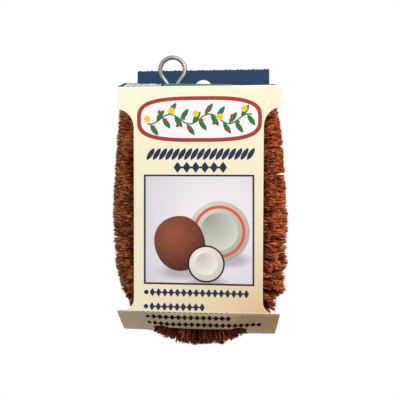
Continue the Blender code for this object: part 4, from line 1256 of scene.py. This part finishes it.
top_run = BACK - CARD - PANEL_GAP - FRONT
top_lean = math.atan2(TOP_RISE, top_run)
top_length = math.hypot(TOP_RISE, top_run)
notch_middle = -MIDDLE
notch_end = (-FRONT - CROSSING_APART - WIRE_RADIUS - NOTCH_FROM_EYE) / math.cos(top_lean)


def top_face(a, d):
    """Upper face of the flap, from the distance back from its crease: a plane that rises backwards, with a
    slight crown along its middle and a low hump round the near end of the notch."""
    back = d / top_length
    crown = TOP_CROWN * np.sin(np.pi * np.clip(back, 0, 1)) * (1 - (a / HALF_PANEL) ** 2)
    from_notch = np.hypot(a - notch_middle, d - notch_end) / NOTCH_REACH
    crown = crown + NOTCH_LIFT * np.exp(-(from_notch**2)) * np.clip(d / notch_end, 0, 1)
    tilt = TOP_TILT * (1 - back) * a / HALF_PANEL + TOP_LIFT * back * (1 - a / HALF_PANEL) / 2
    y = FRONT + d * math.cos(top_lean)
    return np.stack([MIDDLE + a, y, SHOULDER + d * math.sin(top_lean) + tilt + crown], axis=-1)


def stretches(stops, counts):
    """Places from stop to stop, each stretch in a count of equal steps."""
    parts = [np.linspace(start, end, count + 1)[:-1] for start, end, count in zip(stops, stops[1:], counts)]
    return np.concatenate(parts + [[stops[-1]]])


def everywhere(way, places):
    """The same direction at every place along a fold."""
    return np.array(way, float) + 0 * places[:, None]


def bend_between(name, mesh, material):
    """Shows a fold as a piece of its own, its place baked into its mesh; it is tied to neither body that it
    joins."""
    piece = show(name, mesh, material, "cream_card")
    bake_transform(piece)


def fold(name, first, first_way, last, last_way, rub, inward_side=1, kept=None, lifts=(0, -CARD)):
    """Board bent through a crease: a cubic Bezier section from one row of places to another, leaving each
    along its own way, with the board's thickness inside it and an even amount of rubbing."""
    reach = np.linalg.norm(last - first, axis=-1, keepdims=True) * FOLD_PULL
    s = np.linspace(0, 1, FOLD_ROWS + 1)[:, None, None]
    section = cubic(first, first + reach * first_way, last + reach * last_way, last, s)

    def bent(a, b):
        """The section, read from its whole grid by row and column number."""
        low_row = np.clip(np.floor(b).astype(int), 0, section.shape[0] - 2)
        low_column = np.clip(np.floor(a).astype(int), 0, section.shape[1] - 2)
        up, right = (b - low_row)[..., None], (a - low_column)[..., None]
        below = section[low_row, low_column] * (1 - right) + section[low_row, low_column + 1] * right
        above = section[low_row + 1, low_column] * (1 - right) + section[low_row + 1, low_column + 1] * right
        return below * (1 - up) + above * up

    column, row = np.meshgrid(*(np.arange(section.shape[k], dtype=float) for k in (1, 0)))
    block = (column, row) if kept is None else (column, row, kept)
    mesh = sheet(name, [block], bent, inward_side, lifts)
    mesh.attributes["rub"].data.foreach_set("value", np.full(len(mesh.vertices), rub, np.float32))
    return mesh


notch_row = notch_end + NOTCH_HALF
sweep = np.linspace(-np.pi / 2, np.pi / 2, 33)
share = np.linspace(0, 1, 26)[:, None]
under_a = notch_middle + NOTCH_HALF * np.sin(sweep) + 0 * share
under_b = FOLD_ROOM + (notch_end + NOTCH_HALF * (1 - np.cos(sweep)) - FOLD_ROOM) * share
side_b = stretches((FOLD_ROOM, notch_row, top_length), (25, 21))
left_a = np.linspace(-HALF_PANEL - LEFT_GROWTH[3], notch_middle - NOTCH_HALF, 20)
right_a = np.linspace(notch_middle + NOTCH_HALF, HALF_PANEL + RIGHT_GROWTH[3], 46)
flap_blocks = [(under_a, under_b), tuple(np.meshgrid(left_a, side_b)), tuple(np.meshgrid(right_a, side_b))]
flap = sheet("top_flap", flap_blocks, top_face, 1, (0, -CARD))
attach(show("top_flap", flap, cream, "cream_card", "top_panel"), "top_card")

top_a = np.concatenate([left_a[:-1], under_a[0, :-1], right_a])
upright = everywhere((0, 0, 1), top_a)
forwards = everywhere((0, -math.cos(top_lean), -math.sin(top_lean)), top_a)
fold_start = front_face(top_a, 0 * top_a + PANEL_HEIGHT - FOLD_ROOM)
fold_end = top_face(top_a, 0 * top_a + FOLD_ROOM)
top_fold = fold("top_fold", fold_start, upright, fold_end, forwards, TOP_RUB)
bend_between("top_fold", top_fold, cream)


# The printing on the flap
# The flap is printed navy all over, with a pale panel of small marks at its left end and a green one beside
# it, both cut out round the notch.
LABEL_LEFT, LABEL_RIGHT = -0.0385, -0.0198
LABEL_NEAR, LABEL_FAR = 0.0045, 0.0390
LABEL_ROWS = (0.0105, 0.0205, 0.0275, 0.0345)
LABEL_MARGIN = 0.0010
GREEN_LEFT, GREEN_RIGHT = -0.0185, 0.0160
GREEN_NEAR, GREEN_FAR = 0.0012, 0.0400
NOTCH_MARGIN = 0.0003
NOTCH_STOP = 0.0156  # far edge of the panels where they lie in front of the notch
LABEL_INK = (0.68, 0.70, 0.73, 1.0)
FLAP_LEAF = (0.075, 0.26, 0.095, 1.0)
FLAP_NAVY = (0.035, 0.060, 0.125, 1.0)
DULL = (0.8, 0.0)  # roughness and shine of the inks that are seen edge on
ON_FLAP = (top_face, 1, "top_card")

left_of_notch = notch_middle - NOTCH_HALF - NOTCH_MARGIN
right_of_notch = notch_middle + NOTCH_HALF + NOTCH_MARGIN


def notched_panel(side, notch_side, inner, near, far):
    """Oblong from one side of the flap to the notch, and on to an inner edge in front of the notch only."""
    return [
        panel(side, notch_side, near, NOTCH_STOP, 12, 6),
        panel(side, notch_side, NOTCH_STOP, far, 12, 12),
        panel(notch_side, inner, near, NOTCH_STOP, 8, 6),
    ]


flap_navy_ink = ink("flap_navy_ink", FLAP_NAVY, *DULL)
label_ink = ink("label_ink", LABEL_INK, *DULL)
flap_leaf_ink = ink("flap_leaf_ink", FLAP_LEAF, *DULL)
label = notched_panel(LABEL_LEFT, left_of_notch, LABEL_RIGHT, LABEL_NEAR, LABEL_FAR)
green = notched_panel(GREEN_RIGHT, right_of_notch, GREEN_LEFT, GREEN_NEAR, GREEN_FAR)
flap_marks = []
for depth in LABEL_ROWS:
    row_end = LABEL_RIGHT if depth < NOTCH_STOP else left_of_notch
    flap_marks += mark_row(LABEL_LEFT + LABEL_MARGIN, row_end - LABEL_MARGIN, depth, steps=12)
print_on("flap_navy", flap_blocks, flap_navy_ink, 1, "navy_card", *ON_FLAP)
print_on("flap_label", label, label_ink, 2, "cream_card", *ON_FLAP)
print_on("flap_print", flap_marks, flap_navy_ink, 3, "navy_card", *ON_FLAP)
print_on("flap_green", green, flap_leaf_ink, 2, "cream_card", *ON_FLAP)


# The bottom of the sleeve
# The board turns under the brush at a crease perforated with short slits, curves down to the rear fold, and
# is cut open for the brush's end to poke through.
SLIT_PITCH = 0.0026
SLIT_SHARE = 0.66
SLIT_ROWS = slice(2, 5)  # of the fold's seven rows
SLIT_DEPTH = 0.00016  # the slits are cut this deep, and are painted dark brown as the shade inside the sleeve seen through them
SLIT_SHADOW_BROWN = (0.13, 0.062, 0.030, 1.0)
REAR_GROWTH = (0.0004, -0.0006)  # how much wider the left and the right half are at the rear fold
SIDE_CELLS = 12  # across the bottom card on each side of its opening
OPENING_CELLS = 60
STRIP_CELLS = 14  # from the front crease back to the opening
MOUTH_CELLS = 30  # from the opening's front edge to its rear edge
CREASE_RUB = 0.3


def bottom_face(a, d):
    """Outer face of the bottom card, from the distance right of the middle and back from the front crease."""
    return np.stack([MIDDLE + a, FRONT + d, bottom_height(MIDDLE + a, FRONT + d)], axis=-1)


depth = BACK - FRONT
bottom_stops = (-HALF_PANEL, -OPENING_HALF, OPENING_HALF, HALF_PANEL)
bottom_columns = stretches(bottom_stops, (SIDE_CELLS, OPENING_CELLS, SIDE_CELLS))
mouth = opening_front(MIDDLE + bottom_columns) - FRONT
strip = np.linspace(0, 1, STRIP_CELLS + 1)[:, None]
rest = np.linspace(0, 1, MOUTH_CELLS + 1)[1:, None]
rear_share = np.linspace(0, 1, 6)[1:, None]
front_rows = FOLD_ROOM + (mouth - FOLD_ROOM) * strip
middle_rows = mouth + (depth - REAR_STRIP - mouth) * rest
rear_rows = depth - REAR_STRIP + (REAR_STRIP - FOLD_ROOM) * rear_share + 0 * bottom_columns
bottom_b = np.concatenate([front_rows, middle_rows, rear_rows])
beside = np.clip((np.abs(bottom_columns) - OPENING_HALF) / (HALF_PANEL - OPENING_HALF), 0, 1)
back_share = bottom_b / depth
left_out = LEFT_GROWTH[0] + (REAR_GROWTH[0] - LEFT_GROWTH[0]) * back_share
right_out = RIGHT_GROWTH[0] + (REAR_GROWTH[1] - RIGHT_GROWTH[0]) * back_share
bottom_a = bottom_columns + beside * np.where(bottom_columns < 0, -left_out, right_out)
kept = np.ones((len(bottom_b) - 1, len(bottom_columns) - 1), bool)
kept[STRIP_CELLS : STRIP_CELLS + MOUTH_CELLS, SIDE_CELLS : SIDE_CELLS + OPENING_CELLS] = False
bottom = sheet("bottom_card", [(bottom_a, bottom_b, kept)], bottom_face, -1, (0, -CARD))
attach(show("bottom_card", bottom, cream, "cream_card", "bottom_panel"), "brush")

slits = int(2 * HALF_PANEL / SLIT_PITCH)
edges = -HALF_PANEL + SLIT_PITCH * (np.arange(slits)[:, None] + np.array((0.25, 0.25 + SLIT_SHARE)))
crease_ends = [-HALF_PANEL - LEFT_GROWTH[0], HALF_PANEL + RIGHT_GROWTH[0]]
crease_a = np.unique(np.clip(np.concatenate([crease_ends, edges.ravel()]), *crease_ends))
slit_cells = (crease_a[:-1, None] < edges.mean(1)) & (crease_a[1:, None] > edges.mean(1))
in_slit = np.zeros((FOLD_ROWS, len(crease_a) - 1), bool)
in_slit[SLIT_ROWS] = slit_cells.any(axis=1)
fold_start = bottom_face(crease_a, 0 * crease_a + FOLD_ROOM)
fold_end = front_face(crease_a, 0 * crease_a + FOLD_ROOM)
steep = bottom_slope(MIDDLE + crease_a, FRONT + 1e-4)
forwards = np.stack([0 * steep, -1 / np.hypot(1, steep), steep / np.hypot(1, steep)], axis=1)
crease = (fold_start, forwards, fold_end, everywhere((0, 0, -1), crease_a))
bottom_fold = fold("bottom_fold", *crease, CREASE_RUB, 1, ~in_slit)
bend_between("bottom_fold", bottom_fold, cream)

# Painted shade: the slits take a flat dark brown for the shadow inside the sleeve
slit_shadow_board = board("torn_card", ((0.0, SLIT_SHADOW_BROWN), (1.0, SLIT_SHADOW_BROWN)), 0.0, SLIT_SHADOW_BROWN, SLIT_SHADOW_BROWN)
perforation = fold("perforation", *crease, 0.0, 1, in_slit, (-SLIT_DEPTH, -CARD))
bend_between("perforation", perforation, slit_shadow_board)


# The back of the sleeve
# The board goes on up behind the brush, printed navy on both sides. It stands above the flap as a header,
# torn off a perforated sheet along its top edge and punched with a hole to hang the pack by.
HEADER_HALF = 0.03550
HEADER_OFFSET = 0.0015
HEADER_HEIGHT = 0.0083
HOLE_RADIUS = 0.0049
HOLE_DROP = 0.0106  # from the header's top edge to the middle of the hole
HOLE_FIELD = 0.006  # half of the square of board in which the hole's rings lie
FIELD_CELLS = 16  # along each side of that square
EDGE_CELLS = (5, 4)  # from the board's left and right edges to the header
HEADER_CELLS = 84  # from the header's sides to the square
TOOTH_PITCH = 0.0021
TOOTH_HEIGHT = 0.00055
TOOTH_ROOM = 0.0012
TOOTH_SWELL = (0.55, 0.45)  # share of their height that the teeth have, and by how much it goes up and down
TOOTH_PACE = 0.61  # of that, against the teeth's own
TOOTH_FALL = 0.9  # share of their height by which the whole edge stands lower
BACK_BOW = 0.5  # against the front's
NAVY = (0.018, 0.050, 0.120, 1.0)
# Painted shade: the darker navy that the back takes towards the lower right
NAVY_SHADED_END = (0.015, 0.042, 0.102, 1.0)
NAVY_CORE = (0.060, 0.075, 0.120, 1.0)  # soaked grey board
NAVY_WEAR = 0.14
REAR_RUB = 0.5

back_shoulder = SHOULDER + TOP_RISE - FOLD_HEIGHT
header_edge = back_shoulder + HEADER_HEIGHT
back_tab = SHOULDER - TAB_HEIGHT - FOLD_HEIGHT
hole_b = header_edge - HOLE_DROP


def back_face(a, b):
    """Rear face of the back card, from the distance right of the middle and above the rear fold, with a torn
    top edge of small uneven teeth."""
    near_top = np.clip((b - header_edge + TOOTH_ROOM) / TOOTH_ROOM, 0, 1)
    phase = np.pi * a / TOOTH_PITCH
    swell = TOOTH_SWELL[0] + TOOTH_SWELL[1] * np.sin(TOOTH_PACE * phase + 1)
    teeth = np.abs(np.sin(phase)) ** 4 * swell - TOOTH_FALL
    high = b / back_shoulder
    tall = np.sin(np.pi * np.clip(high, 0, 1))
    tilt = (TOP_TILT * high - REAR_TILT * (1 - high)) * a / HALF_PANEL
    y = BACK + BACK_BOW * BOW * tall * (1 - (a / HALF_PANEL) ** 2)
    return np.stack([MIDDLE + a, y, FOLD_HEIGHT + b + tilt + TOOTH_HEIGHT * teeth * near_top], axis=-1)


def rear_ends(a):
    """How far the die cut moves each place of the rear fold outwards: a cube of its distance from the
    middle."""
    left, right = (np.clip(way * a / HALF_PANEL, 0, 1) ** 3 for way in (-1, 1))
    return REAR_GROWTH[1] * right - REAR_GROWTH[0] * left


stops = [-HALF_PANEL, HALF_PANEL]
stops[1:1] = (HEADER_OFFSET + out for out in (-HEADER_HALF, -HOLE_FIELD, HOLE_FIELD, HEADER_HALF))
a = stretches(stops, (EDGE_CELLS[0], HEADER_CELLS, FIELD_CELLS, HEADER_CELLS, EDGE_CELLS[1]))
field_low, field_high = hole_b - HOLE_FIELD, hole_b + HOLE_FIELD
shoulder_step = round((back_shoulder - field_low) / (2 * HOLE_FIELD) * FIELD_CELLS)
lower = panel_rows(FOLD_ROOM, field_low, [FLARE_HEIGHT], [(back_tab, CUTOUT_HEIGHT)])
upper_steps = (shoulder_step, FIELD_CELLS - shoulder_step, 7)
upper = stretches((field_low, back_shoulder, field_high, header_edge), upper_steps)
b = np.concatenate([lower, upper[1:]])
waisted = half_width(np.minimum(b, back_tab)[:, None], back_tab, CUTOUT_HEIGHT, FLARE_HEIGHT)
grid_a = a * waisted / HALF_PANEL
grid_a[b >= back_tab] = a
grid_a += rear_ends(a) * np.clip(1 - b[:, None] / FLARE_HEIGHT, 0, 1)
kept = np.ones((len(b) - 1, len(a) - 1), bool)
hole_row, hole_column = len(lower) - 1, EDGE_CELLS[0] + HEADER_CELLS
kept[hole_row : hole_row + FIELD_CELLS, hole_column : hole_column + FIELD_CELLS] = False
kept[hole_row + shoulder_step :, : EDGE_CELLS[0]] = False
kept[hole_row + shoulder_step :, -EDGE_CELLS[1] :] = False

square_a = a[hole_column : hole_column + FIELD_CELLS + 1]
square_b = upper[: FIELD_CELLS + 1]
same = np.ones(FIELD_CELLS)
around_a = [square_a[:-1], same * square_a[-1], square_a[:0:-1], same * square_a[0], square_a[:1]]
around_b = [same * field_low, square_b[:-1], same * field_high, square_b[:0:-1], square_b[:1]]
around_a, around_b = np.concatenate(around_a), np.concatenate(around_b)
away = np.arctan2(around_b - hole_b, around_a - HEADER_OFFSET)
hole_rim = (HEADER_OFFSET + HOLE_RADIUS * np.cos(away), hole_b + HOLE_RADIUS * np.sin(away))
navy = board("navy_card", ((0.0, NAVY), (1.0, NAVY_SHADED_END)), NAVY_WEAR, NAVY, NAVY_CORE)
back_blocks = [(grid_a, b[:, None] + 0 * a, kept), hoop((around_a, around_b), hole_rim, 5)]
back = sheet("back_card", back_blocks, back_face, -1, (0, -CARD))
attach(show("back_card", back, navy, "navy_card", "back_panel"), "brush")

rear_a = bottom_columns + rear_ends(bottom_columns)
fold_start = bottom_face(rear_a, 0 * rear_a + depth - FOLD_ROOM)
fold_end = back_face(rear_a, 0 * rear_a + FOLD_ROOM)
backwards, downwards = everywhere((0, 1, 0), rear_a), everywhere((0, 0, -1), rear_a)
rear_fold = fold("rear_fold", fold_start, backwards, fold_end, downwards, REAR_RUB, -1)
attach(show("rear_fold", rear_fold, navy, "navy_card"), "brush")


# The printing on the bottom and the back
# Two more rows of marks, in a navy darkened as painted shade, run across the strip in front of the opening.
# The navy back carries a bare cream panel inside a thin cream border.
BOTTOM_ROWS = ((-0.0272, 0.0145, 0.0026), (-0.0268, 0.0315, 0.0066))  # left, right and drop below the crease
BOTTOM_SQUEEZE = 0.72
# Painted shade: the marks' navy darkened where the strip faces down
SHADED_NAVY_INK = (0.020, 0.021, 0.034, 1.0)
CREAM_INK = (0.82, 0.72, 0.48, 1.0)
BORDER_HALF = 0.0268
BORDER_LOW, BORDER_HIGH = 0.012, 0.122
BORDER_LINE = 0.0007
BARE_HALF = 0.0200
BARE_LOW, BARE_HIGH = 0.050, 0.090


def strip_face(a, drop):
    """Outer face of the bottom card from the distance right of the middle and the drop below the crease,
    found by turning its power round."""
    share = np.clip(1 - drop / (FOOT - FOLD_HEIGHT), 0, 1) ** (1 / bottom_power(MIDDLE + a))
    return bottom_face(a, (BACK - FRONT) * (1 - share))


bottom_marks = []
for left, right, drop in BOTTOM_ROWS:
    bottom_marks += mark_row(left, right, drop, BOTTOM_SQUEEZE, 12)
dark_navy_ink = ink("dark_navy_ink", SHADED_NAVY_INK, *DULL)
print_on("bottom_print", bottom_marks, dark_navy_ink, 2, "navy_card", strip_face, -1, "brush")

back_lines = [panel(-BARE_HALF, BARE_HALF, BARE_LOW, BARE_HIGH, 24, 24)]
back_lines += thin_frame(-BORDER_HALF, BORDER_HALF, BORDER_LOW, BORDER_HIGH, BORDER_LINE, 30, 60)
print_on("back_print", back_lines, ink("cream_ink", CREAM_INK), 1, "cream_card", back_face, -1, "brush")
